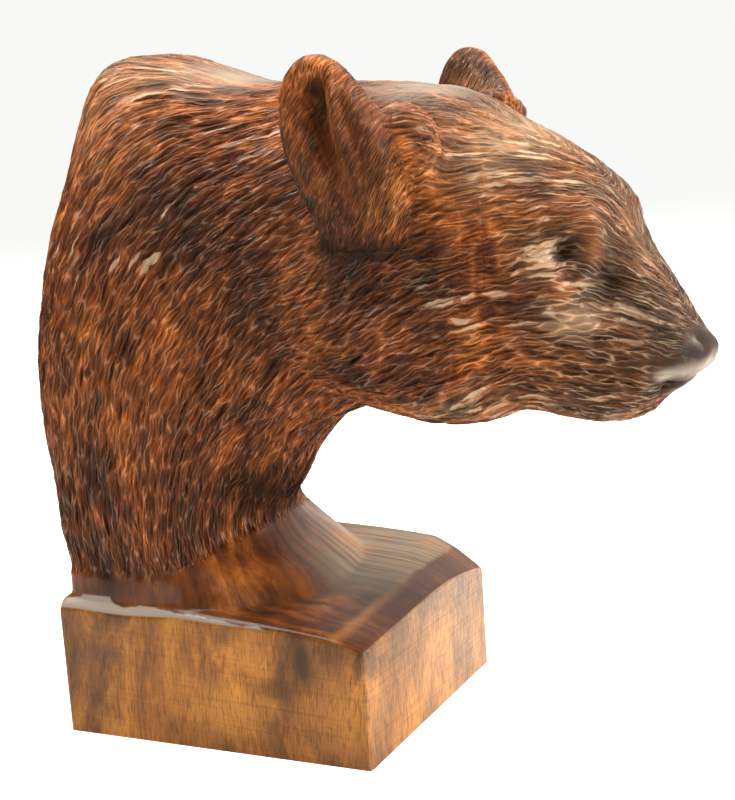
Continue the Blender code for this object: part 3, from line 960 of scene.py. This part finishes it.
def level_of(steps, weights):
    """The level at each node of a grid whose neighbours differ as nearly as can be by the steps."""
    level = np.zeros((steps[1].shape[0], steps[0].shape[1]))
    left = np.zeros(level.shape)
    left[1:] += weights[0] * steps[0]
    left[:-1] -= weights[0] * steps[0]
    left[:, 1:] += weights[1] * steps[1]
    left[:, :-1] -= weights[1] * steps[1]
    way = left.copy()
    size = (left * left).sum()
    for _ in range(MAP_ROUNDS):
        pushed = spread(way, weights)
        stride = size / (way * pushed).sum()
        level += stride * way
        left -= stride * pushed
        new_size = (left * left).sum()
        way = left + new_size / size * way
        size = new_size
    return level


def fur_map():
    """Nodes on the near half of the figure: their points, and how far each lies across and along
    the fur, in metres, with the directions in which those distances grow."""
    rings = np.linspace(*MAP_REACH, MAP_RINGS)
    ring, angle = np.meshgrid(rings, np.linspace(0, math.pi, MAP_SPOKES), indexing="ij")
    nodes = lofted(ring.ravel(), angle.ravel()).reshape(MAP_RINGS, MAP_SPOKES, 3)
    normals = np.cross(np.gradient(nodes, axis=0), np.gradient(nodes, axis=1))
    normals /= np.maximum(np.linalg.norm(normals, axis=2, keepdims=True), 1e-12)
    if normals[MAP_RINGS // 2, MAP_SPOKES // 2, 1] > 0:
        normals = -normals
    flat = nodes.reshape(-1, 3) + [0.0, -1e-6, 0.0]
    lie = fur_lie(flat, normals.reshape(-1, 3), 0.0).reshape(nodes.shape)
    runs = (nodes[1:] - nodes[:-1], nodes[:, 1:] - nodes[:, :-1])
    spans = [np.linalg.norm(run, axis=2) + 1e-5 for run in runs]
    broad = np.minimum(spans[1][1:], spans[1][:-1]).mean(axis=1, keepdims=True)
    long = 0.5 * (spans[0][:, 1:] + spans[0][:, :-1]).mean(axis=0, keepdims=True)
    weights = (np.clip(broad / spans[0], 0.05, 20), np.clip(long / spans[1], 0.05, 20))
    levels = []
    for way in (np.cross(normals, lie), lie):
        steps = (
            ((way[1:] + way[:-1]) / 2 * runs[0]).sum(axis=2),
            ((way[:, 1:] + way[:, :-1]) / 2 * runs[1]).sum(axis=2),
        )
        levels.append((level_of(steps, weights).ravel(), way.reshape(-1, 3)))
    return nodes.reshape(-1, 3), levels


def fur_places(points, on_ear):
    """How far across and along the fur each point lies, in figure units."""
    nodes, levels = fur_map()
    tree = tree_of(nodes)
    near_side = np.stack([points[:, 0], -np.abs(points[:, 1]), points[:, 2]], axis=1)
    found = [tree.find_n(point, MAP_NEIGHBOURS) for point in near_side]
    picks = np.array([[hit[1] for hit in hits] for hits in found])
    gaps = np.array([[hit[2] for hit in hits] for hits in found])
    pull = 1 / (gaps**2 + 1e-7)
    pull /= pull.sum(axis=1, keepdims=True)
    x, _, z = in_figure(points).T
    tilt = math.radians(EAR_COMB)
    cosine = math.cos(tilt)
    sine = math.sin(tilt)
    ear_places = (z * cosine - x * sine, x * cosine + z * sine)
    places = []
    for (level, way), ear_place in zip(levels, ear_places):
        offsets = ((near_side[:, None] - nodes[picks]) * way[picks]).sum(axis=2)
        on_head = (pull * (level[picks] + offsets)).sum(axis=1) / UNIT
        places.append(np.where(on_ear > 0.5, ear_place / EAR_CUT_SHARE, on_head))
    return places


def stroke_sizes(points):
    """Length, width and depth of a stroke at each point, in metres."""
    pull = between(STROKES, in_figure(points), STROKE_SOFTNESS)
    sizes = pull @ np.array([row[1:] for row in STROKES])
    on_ear = ear_share(points)[:, None]
    return (sizes * (1 - on_ear) + np.array(EAR_STROKE) * on_ear) * UNIT


def scatter(points, normals, lie, length, width):
    """Places of strokes, none closer to another than its length along the fur or width across."""
    across = np.cross(normals, lie)
    left = np.arange(len(points))
    chosen = []
    while len(left):
        pick = left[0]
        chosen.append(pick)
        gap = points[left] - points[pick]
        ahead = gap @ lie[pick] / length[pick]
        aside = gap @ across[pick] / width[pick]
        over = gap @ normals[pick] / length[pick]
        left = left[ahead**2 + aside**2 + over**2 > 1]
    return np.array(chosen)


def bare_places(points):
    """1 where the wood has no fur: the plinth, the sweep to it and the nose."""
    figure = in_figure(points)
    x, _, z = figure.T
    rise = np.clip((x - BARE_RISE_START) / BARE_RISE_LENGTH, 0, 1) * BARE_RISE
    low = BARE_HEIGHT + rise + BARE_WAVE * np.sin(x / 1.3) * np.sin(x / 3.1)
    plinth = np.clip((low - z) / 1.5, 0, 1)
    nose = np.clip((x - NOSE_START + (NOSE_HEIGHT - z) * NOSE_SLANT) / 2.0, 0, 1)
    return np.maximum(plinth, nose)


def stamp(tree, points, normals, picks, lie, sizes, chance, bend):
    """The depth that strokes cut at each point, and a tone of its own for each stroke."""
    depth = np.zeros(len(points))
    tone = np.full(len(points), 0.5)
    across = np.cross(normals[picks], lie)
    for number, pick in enumerate(picks):
        length, width, deep = sizes[number]
        near = np.array([found[1] for found in tree.find_range(points[pick], length / 2)])
        gap = points[near] - points[pick]
        u = gap @ lie[number] / (length / 2)
        v = gap @ across[number] / (width / 2)
        v = v + chance.uniform(-bend, bend) * (u**2 - 0.3)
        taper = np.clip(1 - u**2, 0, 1) ** STROKE_TAPER
        cut = np.clip(1 - np.abs(v) / np.maximum(taper, 0.05), 0, 1) * taper
        cut *= (0.85 + 0.15 * u) * (normals[near] @ normals[pick] > 0.2)
        cut *= deep * chance.uniform(*STROKE_DEPTH_SPREAD)
        deeper = cut > depth[near]
        depth[near] = np.where(deeper, cut, depth[near])
        tone[near] = np.where(deeper, chance.random(), tone[near])
    return depth, tone


def tree_of(points):
    tree = KDTree(len(points))
    for number, point in enumerate(points):
        tree.insert(point, number)
    tree.balance()
    return tree


def turned(lie, normals, degrees):
    """The lie turned in the surface by an angle of its own for each stroke."""
    angle = np.radians(degrees)[:, None]
    return lie * np.cos(angle) + np.cross(normals, lie) * np.sin(angle)


def carve_fur(points, normals):
    """Cuts coarse locks and then fine tapered strokes along the fur's lie."""
    chance = np.random.default_rng(SEED)
    bare = bare_places(points)
    on_ear = ear_share(points)
    smooth = np.clip(1 - swell(SMOOTH_PLACES, in_figure(points)), 0, 1)
    tree = tree_of(points)

    far_from_ears = chance.permutation(np.flatnonzero((bare < 0.5) & (on_ear < 0.3)))
    candidates = far_from_ears[:STROKE_CANDIDATES // 3]
    starts = points[candidates]
    ways = normals[candidates]
    lie = fur_lie(starts, ways, on_ear[candidates])
    length = np.full(len(candidates), LOCK_LENGTH * UNIT)
    width = np.full(len(candidates), LOCK_WIDTH * UNIT)
    kept = scatter(starts, ways, lie, length * LOCK_GAPS[0], width * LOCK_GAPS[1])
    depth = np.full(len(kept), LOCK_DEPTH * UNIT)
    sizes = np.stack([length[kept], width[kept], depth], axis=1)
    locks, _ = stamp(tree, points, normals, candidates[kept], lie[kept], sizes, chance, 0.0)
    locks *= (1 - bare) * (1 - on_ear) * smooth

    candidates = chance.permutation(np.flatnonzero(bare < 0.7))[:STROKE_CANDIDATES]
    starts = points[candidates]
    ways = normals[candidates]
    lie = fur_lie(starts, ways, on_ear[candidates])
    sizes = stroke_sizes(starts)
    kept = scatter(starts, ways, lie, sizes[:, 0] * STROKE_GAPS[0], sizes[:, 1] * STROKE_GAPS[1])
    picks = candidates[kept]
    sizes = sizes[kept] * chance.uniform(*STROKE_SPREAD, (len(kept), 3))
    turns = chance.uniform(-STROKE_JITTER, STROKE_JITTER, len(kept))
    lie = turned(lie[kept], normals[picks], turns)
    strokes, tone = stamp(tree, points, normals, picks, lie, sizes, chance, STROKE_BEND)
    strokes *= (1 - bare) * smooth

    carved = points - normals * (locks + strokes)[:, None]
    return carved, strokes, tone


def keep_value(mesh, name, values, low=0.0, high=1.0):
    """Stores one number for each point, which the wood reads."""
    attribute = mesh.attributes.new(name, "FLOAT", "POINT")
    attribute.data.foreach_set("value", np.clip(values, low, high).astype(np.float32))


def thin_out(bust):
    triangles = sum(len(face.vertices) - 2 for face in bust.data.polygons)
    bpy.ops.object.mode_set(mode="EDIT")
    bpy.ops.mesh.select_all(action="SELECT")
    bpy.ops.mesh.decimate(ratio=TRIANGLES / triangles)
    bpy.ops.object.mode_set(mode="OBJECT")


def cut_flat_below():
    """Cuts the active piece off flat at z = 0 and closes it there."""
    bpy.ops.object.mode_set(mode="EDIT")
    bpy.ops.mesh.select_all(action="SELECT")
    bpy.ops.mesh.bisect(plane_co=(0, 0, 0), plane_no=(0, 0, 1), use_fill=True, clear_inner=True)
    bpy.ops.mesh.select_all(action="SELECT")
    bpy.ops.mesh.quads_convert_to_tris()
    bpy.ops.mesh.normals_make_consistent(inside=False)
    bpy.ops.object.mode_set(mode="OBJECT")


def softened(mesh, ends, points, strength, rounds):
    """Softens the points, lays them into the mesh and gives them back."""
    points = soften(points, ends, strength * skin_weight(points), rounds)
    set_vertices(mesh, points)
    return points


def make_bust():
    pieces = [make_head_and_neck()]
    pieces += [make(side) for make in (make_ear, make_collar) for side in (-1, 1)]
    pieces.append(make_plinth())
    bust = join_as_one(pieces, "carved_bear_bust")
    mesh = bust.data
    ends = edges_of(mesh)
    points = softened(mesh, ends, vertices_of(mesh), *SOFT_JOINS)
    points = softened(mesh, ends, model_forms(points, normals_of(mesh)), *SOFT_FORMS)
    points, slit = model_ears(points, normals_of(mesh))
    whole = softened(mesh, ends, points, *SOFT_EARS)
    points, strokes, tone = carve_fur(whole, normals_of(mesh))
    set_vertices(mesh, np.clip(points, np.array(CAD_LOW) + [0, 0, -1], np.array(CAD_HIGH)))

    figure = in_figure(whole)
    values = {
        # How deep the strokes cut at each point, for the painted shade in their bottoms
        "groove_shade": strokes / stroke_sizes(whole)[:, 2],
        "tone": tone,
        # Painted reflections on the nose, the top of the neck and the crown
        "glint": swell(GLINT_PLACES, figure) + drawn(GLINT_LINES, figure),
        # Painted highlights and reflections
        "pale": swell(PALE_HIGHLIGHT_PLACES, figure),
        "warm": swell(WARM_PLACES, figure) + drawn(WARM_LINES, figure),
        # The nose's dark wood, and painted shade in hollows, under the ears and on the throat
        "dark": swell(DARK_AND_SHADED_PLACES, figure) + drawn(SHADE_LINES, figure) + SLIT_SHADE * slit,
        "calm": swell(CALM_PLACES, figure),
        "bare": bare_places(whole),
    }
    for name, value in values.items():
        keep_value(mesh, name, value)
    # Where flat cuts get painted pale glints
    keep_value(mesh, "glints on flat cuts", swell(GLINTING_CUT_PLACES, figure), 0.0, 1.5)
    thin_out(bust)
    points = vertices_of(mesh)
    for name, value in zip(("across", "lengthwise"), fur_places(points, ear_share(points))):
        keep_value(mesh, name, value, -FARTHEST_PLACE, FARTHEST_PLACE)
    cut_flat_below()
    deselect_all()
    bust.select_set(True)
    bpy.ops.object.shade_smooth_by_angle(angle=math.radians(SMOOTH_ANGLE))
    return bust


def srgb(colour):
    """A colour of 0 to 255 parts as the linear values that a shader takes."""
    parts = [value / 255 for value in colour]
    linear = [p / 12.92 if p <= 0.04045 else ((p + 0.055) / 1.055) ** 2.4 for p in parts]
    return (*linear, 1.0)


def set_inputs(node, values):
    for name, value in values.items():
        node.inputs[name].default_value = value


class Nodes:
    """Adds nodes to a tree, links them and gives back their output."""

    def __init__(self, tree):
        self.tree = tree

    def add(self, kind, **settings):
        node = self.tree.nodes.new(kind)
        for name, value in settings.items():
            setattr(node, name, value)
        return node

    def feed(self, socket, value):
        if isinstance(value, bpy.types.NodeSocket):
            self.tree.links.new(value, socket)
        else:
            socket.default_value = value

    def maths(self, operation, first, second=0.0, clamp=False):
        node = self.add("ShaderNodeMath", operation=operation, use_clamp=clamp)
        self.feed(node.inputs[0], first)
        self.feed(node.inputs[1], second)
        return node.outputs[0]

    def plus(self, first, *others):
        for other in others:
            first = self.maths("ADD", first, other)
        return first

    def times(self, first, *others):
        for other in others:
            first = self.maths("MULTIPLY", first, other)
        return first

    def minus(self, first, second, clamp=False):
        return self.maths("SUBTRACT", first, second, clamp)

    def weighed(self, *pairs):
        """The sum of values, each times its own weight."""
        return self.plus(*[self.times(value, weight) for value, weight in pairs])

    def mix(self, share, first, second, blend="MIX"):
        node = self.add("ShaderNodeMix", data_type="RGBA", blend_type=blend)
        self.feed(node.inputs["Factor"], share)
        self.feed(node.inputs[6], first)
        self.feed(node.inputs[7], second)
        return node.outputs[2]

    def tint(self, colour, name, share):
        most, tint = TINTS[name]
        return self.mix(self.times(share, most), colour, srgb(tint))

    def fade(self, value, name):
        """0 up to where the named mask begins, 1 from where it is full, and smooth between."""
        low, high = FADES[name]
        node = self.add("ShaderNodeMapRange", interpolation_type="SMOOTHSTEP")
        self.feed(node.inputs["Value"], value)
        node.inputs["From Min"].default_value = low
        node.inputs["From Max"].default_value = high
        return node.outputs[0]

    def ramp(self, value, stops):
        node = self.add("ShaderNodeValToRGB")
        elements = node.color_ramp.elements
        while len(elements) < len(stops):
            elements.new(0.5)
        for element, (place, colour) in zip(elements, stops):
            element.position = place
            element.color = colour
        self.feed(node.inputs[0], value)
        return node.outputs[0]

    def shades(self, value, stops):
        return self.ramp(value, [(place, srgb(colour)) for place, colour in stops])

    def noise(self, vector, detail, roughness, distortion=0.0):
        node = self.add("ShaderNodeTexNoise")
        self.feed(node.inputs["Vector"], vector)
        node.inputs["Scale"].default_value = 1.0
        node.inputs["Detail"].default_value = detail
        node.inputs["Roughness"].default_value = roughness
        node.inputs["Distortion"].default_value = distortion
        return node.outputs["Fac"]

    def layer(self, vector, name):
        scale, detail, roughness = LAYERS[name]
        return self.noise(self.stretch(vector, scale), detail, roughness)

    def cells(self, vector):
        """The distance to the nearest cell's edge, and a tone of 0 to 1 for each cell."""
        found = []
        for feature, output in (("DISTANCE_TO_EDGE", "Distance"), ("F1", "Color")):
            node = self.add("ShaderNodeTexVoronoi", voronoi_dimensions="2D", feature=feature)
            self.feed(node.inputs["Vector"], vector)
            node.inputs["Scale"].default_value = 1.0
            found.append(node.outputs[output])
        split = self.add("ShaderNodeSeparateColor")
        self.feed(split.inputs[0], found[1])
        return found[0], split.outputs[0]

    def stretch(self, vector, scale, place=(0, 0, 0), turn=(0, 0, 0)):
        node = self.add("ShaderNodeMapping")
        self.feed(node.inputs["Vector"], vector)
        node.inputs["Location"].default_value = place
        node.inputs["Rotation"].default_value = turn
        node.inputs["Scale"].default_value = scale
        return node.outputs[0]

    def parts(self, vector):
        node = self.add("ShaderNodeSeparateXYZ")
        self.feed(node.inputs[0], vector)
        return node.outputs

    def joined(self, x, y, z):
        node = self.add("ShaderNodeCombineXYZ")
        for socket, value in zip(node.inputs, (x, y, z)):
            self.feed(socket, value)
        return node.outputs[0]

    def near(self, place, centre, reach):
        """1 at the centre of a soft ball stretched by its reach, and 0 outside it."""
        shift = [-at / far for at, far in zip(centre, reach)]
        moved = self.stretch(place, [1 / far for far in reach], shift)
        away = self.add("ShaderNodeVectorMath", operation="LENGTH")
        self.feed(away.inputs[0], moved)
        return self.fade(away.outputs["Value"], "soft ball")

    def value_of(self, name):
        return self.add("ShaderNodeAttribute", attribute_name=name).outputs["Fac"]


def plinth_masks(nodes, place):
    """Where the wood is the plinth's sawn sides, and where the painted highlight lies on the bevel
    of its near edge.
    """
    x, y, z = nodes.parts(place)
    on_sides = nodes.fade(nodes.maths("ABSOLUTE", y), "plinth's sides")
    on_ends = nodes.fade(nodes.maths("ABSOLUTE", x), "plinth's ends")
    low = nodes.fade(z, "plinth's height")
    sawn = nodes.times(nodes.maths("MAXIMUM", on_sides, on_ends), low)
    narrowing = nodes.times(nodes.minus(BEVEL_END, x), BEVEL_NARROWING)
    ragged = nodes.minus(nodes.layer(place, "ragged edge"), 0.5)
    inside = nodes.minus(nodes.plus(y, PLINTH_WIDTH / 2), nodes.times(ragged, BEVEL_RAGGED))
    # Painted highlight on the near bevel, with a ragged edge
    bevel = nodes.fade(nodes.minus(narrowing, inside), "near bevel")
    bevel = nodes.times(bevel, nodes.fade(z, "near bevel's height"))
    return sawn, nodes.times(bevel, nodes.minus(1.0, sawn))


def wood_figure(nodes, block, streak):
    """Layers of growth across y, bent by slow waves that lengthen along the grain, and clouds."""
    x, y, z = nodes.parts(block)
    slow = nodes.layer(block, "slow waves")
    wavy = nodes.layer(block, "waves")
    layer = nodes.plus(y, nodes.weighed((slow, GROWTH_BEND), (wavy, GROWTH_RIPPLE)))
    scaled = [nodes.times(part, scale) for part, scale in zip((x, layer, z), GROWTH_SCALE)]
    growth = nodes.noise(nodes.joined(*scaled), 5.0, 0.62)
    cloud = nodes.layer(block, "clouds")
    return nodes.weighed(*zip((growth, streak, cloud), FIGURE_SHARES))


def sawn_side(nodes, place, block, figure, fleck):
    """The plinth's sides: lighter, with a broad flame of figure and dark open pores, and a painted
    sheen on the front face.
    """
    forward, leftward, _ = nodes.parts(place)
    tall = nodes.stretch(block, (0.055, 0.030, 0.022), (3.0, 0.0, 1.0), (0, 0.5, 0))
    flame = nodes.noise(tall, 4.0, 0.62, 1.4)
    shade = nodes.weighed((flame, FLAME_SHARE), (figure, 1 - FLAME_SHARE))
    colour = nodes.shades(shade, SAWN_COLOURS)
    for spot, reach, share, tint in SIDE_FIGURE:
        colour = nodes.mix(nodes.times(nodes.near(place, spot, reach), share), colour, srgb(tint))
    # Painted sheen on the front face, stronger at its far side
    further = nodes.times(nodes.fade(leftward, "to the far side"), FRONT_SHEEN_SHARES[1])
    front_sheen = nodes.times(nodes.plus(FRONT_SHEEN_SHARES[0], further), nodes.fade(forward, "sheen of the front face"))
    colour = nodes.tint(colour, "sheen of the front face", front_sheen)
    colour = nodes.tint(colour, "flecks of the sides", nodes.fade(fleck, "flecks of the sides"))
    saw_marks = nodes.fade(nodes.layer(block, "saw marks"), "saw marks")
    return nodes.tint(colour, "saw marks", saw_marks)


def shade_top(nodes, place, colour):
    """The plinth's top: its dark front bevel with a painted highlight along its rim, and a painted
    reflection on its far part.
    """
    forward, leftward, height = nodes.parts(place)
    wander = nodes.times(nodes.layer(place, "wandering edge"), FRONT_EDGE_WANDER)
    past_edge = nodes.minus(nodes.plus(forward, wander), FRONT_EDGE)
    on_low_top = nodes.fade(height, "low part of the top")
    band = nodes.times(nodes.fade(past_edge, "front bevel"), on_low_top)
    colour = nodes.tint(colour, "front bevel", band)
    # Painted highlight along the inner edge of the front bevel
    rim = nodes.fade(nodes.maths("ABSOLUTE", past_edge), "highlight on the front bevel's rim")
    rim = nodes.times(rim, on_low_top, nodes.fade(leftward, "to the near side"))
    colour = nodes.tint(colour, "highlight on the front bevel's rim", rim)
    behind = nodes.fade(past_edge, "behind the front bevel")
    lines = nodes.fade(nodes.layer(place, "long lines"), "long lines")
    # Painted reflection on the far part of the top, in long lines
    far_reflection = nodes.times(nodes.near(place, *FAR_TOP_REFLECTION), behind, lines)
    return nodes.tint(colour, "reflection on the far top", far_reflection)


def cut_colour(nodes, place, colour, bare, on_face):
    """Small cuts along the fur: each a cell with painted shade in its middle, a tone of its own and
    a painted highlight on its edges. Gives back the colour, how much each place shines and how far
    it is from an edge."""
    furry = nodes.minus(1.0, bare, clamp=True)
    sway = nodes.times(nodes.layer(place, "sway of the cuts"), CUT_SWAY)
    across = nodes.times(nodes.plus(nodes.value_of("across"), sway), 1 / CUT_WIDTH)
    lengthwise = nodes.times(nodes.value_of("lengthwise"), 1 / CUT_LENGTH)
    cut_place = nodes.joined(across, lengthwise, 0.0)
    from_edge, own_tone = nodes.cells(cut_place)
    marked = nodes.times(furry, nodes.minus(1.0, nodes.value_of("calm"), clamp=True))
    broken = nodes.fade(nodes.layer(cut_place, "broken crests"), "broken crests")
    # Painted highlight along the edges of the small cuts, broken up
    crest_highlight = nodes.times(nodes.fade(from_edge, "crests"), marked, broken)
    # Painted shade in the middle of each small cut
    cut_shade = nodes.times(nodes.fade(from_edge, "shade in the cuts"), marked)
    # Painted shade: darker where the strokes cut deepest
    colour = nodes.tint(colour, "strokes", nodes.fade(nodes.value_of("groove_shade"), "strokes"))
    colour = nodes.tint(colour, "shade in the cuts", cut_shade)
    own = nodes.mix(1.0, colour, nodes.ramp(own_tone, CUT_TONES), "MULTIPLY")
    colour = nodes.mix(marked, colour, own)
    # Painted highlight: lighter wood mixed with cream, on the crests
    lit_wood = nodes.mix(1.0, colour, CREST_HIGHLIGHT, "MULTIPLY")
    crest_cream_share = nodes.plus(HIGHLIGHT_CREAM_SHARES[0], nodes.times(on_face, HIGHLIGHT_CREAM_SHARES[1]))
    lit_wood = nodes.mix(crest_cream_share, lit_wood, srgb(HIGHLIGHT_CREAM))
    colour = nodes.mix(nodes.times(crest_highlight, CREST_HIGHLIGHT_SHARE), colour, lit_wood)
    # Painted highlight: pale glints on the flat middles of some cuts
    chipped = nodes.plus(own_tone, nodes.times(nodes.value_of("glints on flat cuts"), CUT_GLINT_SHARE))
    flat = nodes.times(furry, nodes.fade(from_edge, "flat of a chip"))
    cut_glint = nodes.times(nodes.fade(chipped, "glints on flat cuts"), flat)
    colour = nodes.tint(colour, "glints on flat cuts", cut_glint)
    return colour, nodes.plus(crest_highlight, cut_glint), nodes.times(from_edge, marked)


def lay_lacquer(nodes, shader, block, streak, bare, shine, hollow):
    """Lacquer, which lies smooth on crests, on glinting flat cuts and on bare wood and is lost in
    the grooves.
    """
    pores = nodes.times(nodes.layer(block, "pores"), PORE_RELIEF)
    bump = nodes.add("ShaderNodeBump")
    bump.inputs["Strength"].default_value = 0.6
    bump.inputs["Distance"].default_value = 0.0009
    nodes.feed(bump.inputs["Height"], nodes.minus(pores, nodes.times(hollow, CUT_RELIEF)))
    nodes.feed(shader.inputs["Normal"], bump.outputs[0])
    nodes.feed(shader.inputs["Coat Normal"], bump.outputs[0])
    gloss = nodes.plus(nodes.times(shine, CREST_GLOSS), GLOSS)
    gloss = nodes.maths("ADD", gloss, nodes.times(bare, BARE_GLOSS), clamp=True)
    undulled = nodes.minus(DULLED_ABOVE, nodes.value_of("dark"), clamp=True)
    nodes.feed(shader.inputs["Coat Weight"], nodes.times(gloss, undulled))
    rough = nodes.add("ShaderNodeMapRange")
    nodes.feed(rough.inputs["Value"], streak)
    rough.inputs["To Min"].default_value, rough.inputs["To Max"].default_value = ROUGHNESS
    nodes.feed(shader.inputs["Roughness"], rough.outputs[0])
    set_inputs(shader, LACQUER)


def lacquered_hardwood():
    """Dark figured hardwood with its grain upright in the block, stained and lacquered."""
    wood = bpy.data.materials.new("lacquered dark hardwood")
    wood.use_nodes = True
    nodes = Nodes(wood.node_tree)
    shader = wood.node_tree.nodes["Principled BSDF"]
    place = nodes.add("ShaderNodeTexCoord").outputs["Object"]
    block = nodes.stretch(place, (1000, 1000, 1000), turn=BLOCK_TURN)
    forward, _, height = nodes.parts(place)
    bare = nodes.value_of("bare")
    sawn, bevel = plinth_masks(nodes, place)
    streak = nodes.layer(block, "streaks")
    fleck = nodes.layer(block, "flecks")
    figure = wood_figure(nodes, block, streak)
    on_face = nodes.fade(forward, "face")

    colour = nodes.tint(nodes.shades(figure, CARVED_COLOURS), "face", on_face)
    shaded = nodes.mix(1.0, colour, TOP_SHADE, "MULTIPLY")
    colour = nodes.mix(nodes.fade(height, "plinth's top"), colour, shaded)
    colour = nodes.tint(colour, "flecks", nodes.times(nodes.fade(fleck, "flecks"), bare))
    colour = shade_top(nodes, place, colour)
    colour = nodes.mix(sawn, colour, sawn_side(nodes, place, block, figure, fleck))
    colour = nodes.tint(colour, "warm", nodes.value_of("warm"))
    # Painted highlights and reflections where faces catch the light
    colour = nodes.tint(colour, "pale", nodes.value_of("pale"))
    stroke_tones = nodes.ramp(nodes.value_of("tone"), STROKE_TONES)
    colour = nodes.mix(1.0, colour, stroke_tones, "MULTIPLY")
    colour, shine, hollow = cut_colour(nodes, place, colour, bare, on_face)
    # The nose's dark wood, and painted shade in hollows
    colour = nodes.tint(colour, "dark", nodes.value_of("dark"))
    # Painted highlight on the near bevel
    colour = nodes.tint(colour, "near bevel", bevel)
    # Painted reflections
    colour = nodes.tint(colour, "glint", nodes.value_of("glint"))
    nodes.feed(shader.inputs["Base Color"], colour)
    lay_lacquer(nodes, shader, block, streak, bare, shine, hollow)
    return wood


def make_floor():
    """A round pale floor that fades into the bright room."""
    deselect_all()
    bpy.ops.mesh.primitive_circle_add(vertices=96, radius=FLOOR_RADIUS, fill_type="NGON")
    floor = bpy.context.object
    floor.name = "pale_floor"
    paint = bpy.data.materials.new("pale floor")
    paint.use_nodes = True
    nodes = Nodes(paint.node_tree)
    shader = paint.node_tree.nodes["Principled BSDF"]
    set_inputs(shader, FLOOR_PAINT)
    seen = nodes.add("ShaderNodeLightPath").outputs["Is Camera Ray"]
    nodes.feed(shader.inputs["Emission Strength"], nodes.times(seen, FLOOR_GLOW))
    clear = nodes.add("ShaderNodeBsdfTransparent")
    blend = nodes.add("ShaderNodeMixShader")
    place = nodes.add("ShaderNodeTexCoord").outputs["Object"]
    away = nodes.add("ShaderNodeVectorMath", operation="LENGTH")
    nodes.feed(away.inputs[0], place)
    nodes.feed(blend.inputs[0], nodes.fade(away.outputs["Value"], "floor"))
    nodes.feed(blend.inputs[1], shader.outputs[0])
    nodes.feed(blend.inputs[2], clear.outputs[0])
    nodes.feed(paint.node_tree.nodes["Material Output"].inputs["Surface"], blend.outputs[0])
    floor.data.materials.append(paint)


def light_room():
    """A bright room: white to the eye, and for the wood bright on one side and dim on the other."""
    room = bpy.data.worlds.new("bright room")
    room.use_nodes = True
    bpy.context.scene.world = room
    nodes = Nodes(room.node_tree)
    seen = room.node_tree.nodes["Background"]
    seen.inputs["Color"].default_value = ROOM_SEEN
    felt = nodes.add("ShaderNodeBackground")
    way = nodes.add("ShaderNodeTexCoord").outputs["Generated"]
    behind = nodes.add("ShaderNodeVectorMath", operation="DOT_PRODUCT")
    nodes.feed(behind.inputs[0], way)
    behind.inputs[1].default_value = BRIGHT_WAY
    share = nodes.fade(behind.outputs["Value"], "bright side of the room")
    nodes.feed(felt.inputs["Color"], nodes.mix(share, ROOM_DIM, ROOM_BRIGHT))
    blend = nodes.add("ShaderNodeMixShader")
    nodes.feed(blend.inputs[0], nodes.add("ShaderNodeLightPath").outputs["Is Camera Ray"])
    nodes.feed(blend.inputs[1], felt.outputs[0])
    nodes.feed(blend.inputs[2], seen.outputs[0])
    nodes.feed(room.node_tree.nodes["World Output"].inputs["Surface"], blend.outputs[0])


def add_softbox(name, place, size, watts):
    """A rectangular lamp facing the bust."""
    lamp = bpy.data.lights.new(name, "AREA")
    lamp.shape = "RECTANGLE"
    lamp.size, lamp.size_y = size
    lamp.energy = watts
    lamp.color = LAMP_COLOUR
    holder = bpy.data.objects.new(name, lamp)
    bpy.context.scene.collection.objects.link(holder)
    holder.visible_camera = False
    holder.location = place
    holder.rotation_mode = "QUATERNION"
    holder.rotation_quaternion = (Vector(place) - Vector(LAMP_AIM)).to_track_quat("Z", "Y")


def light_bust():
    for name, (place, size, watts) in SOFTBOXES.items():
        add_softbox(name, place, size, watts)


def make_camera():
    sight = bpy.data.cameras.new("camera")
    sight.sensor_width = 36
    sight.lens = CAMERA_LENS
    sight.clip_start = 0.01
    sight.clip_end = 20
    camera = bpy.data.objects.new("camera", sight)
    bpy.context.scene.collection.objects.link(camera)
    yaw = Matrix.Rotation(math.radians(CAMERA_YAW), 4, "Z")
    pitch = Matrix.Rotation(math.radians(90 - CAMERA_PITCH), 4, "X")
    roll = Matrix.Rotation(math.radians(CAMERA_ROLL), 4, "Z")
    camera.matrix_world = Matrix.Translation(CAMERA_PLACE) @ yaw @ pitch @ roll
    bpy.context.scene.camera = camera


bust = make_bust()
bust.data.materials.clear()
bust.data.materials.append(lacquered_hardwood())
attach(bust, "root")
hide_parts("bear_bust")

make_floor()
light_room()
light_bust()
make_camera()
bpy.context.scene.view_settings.view_transform = "Standard"
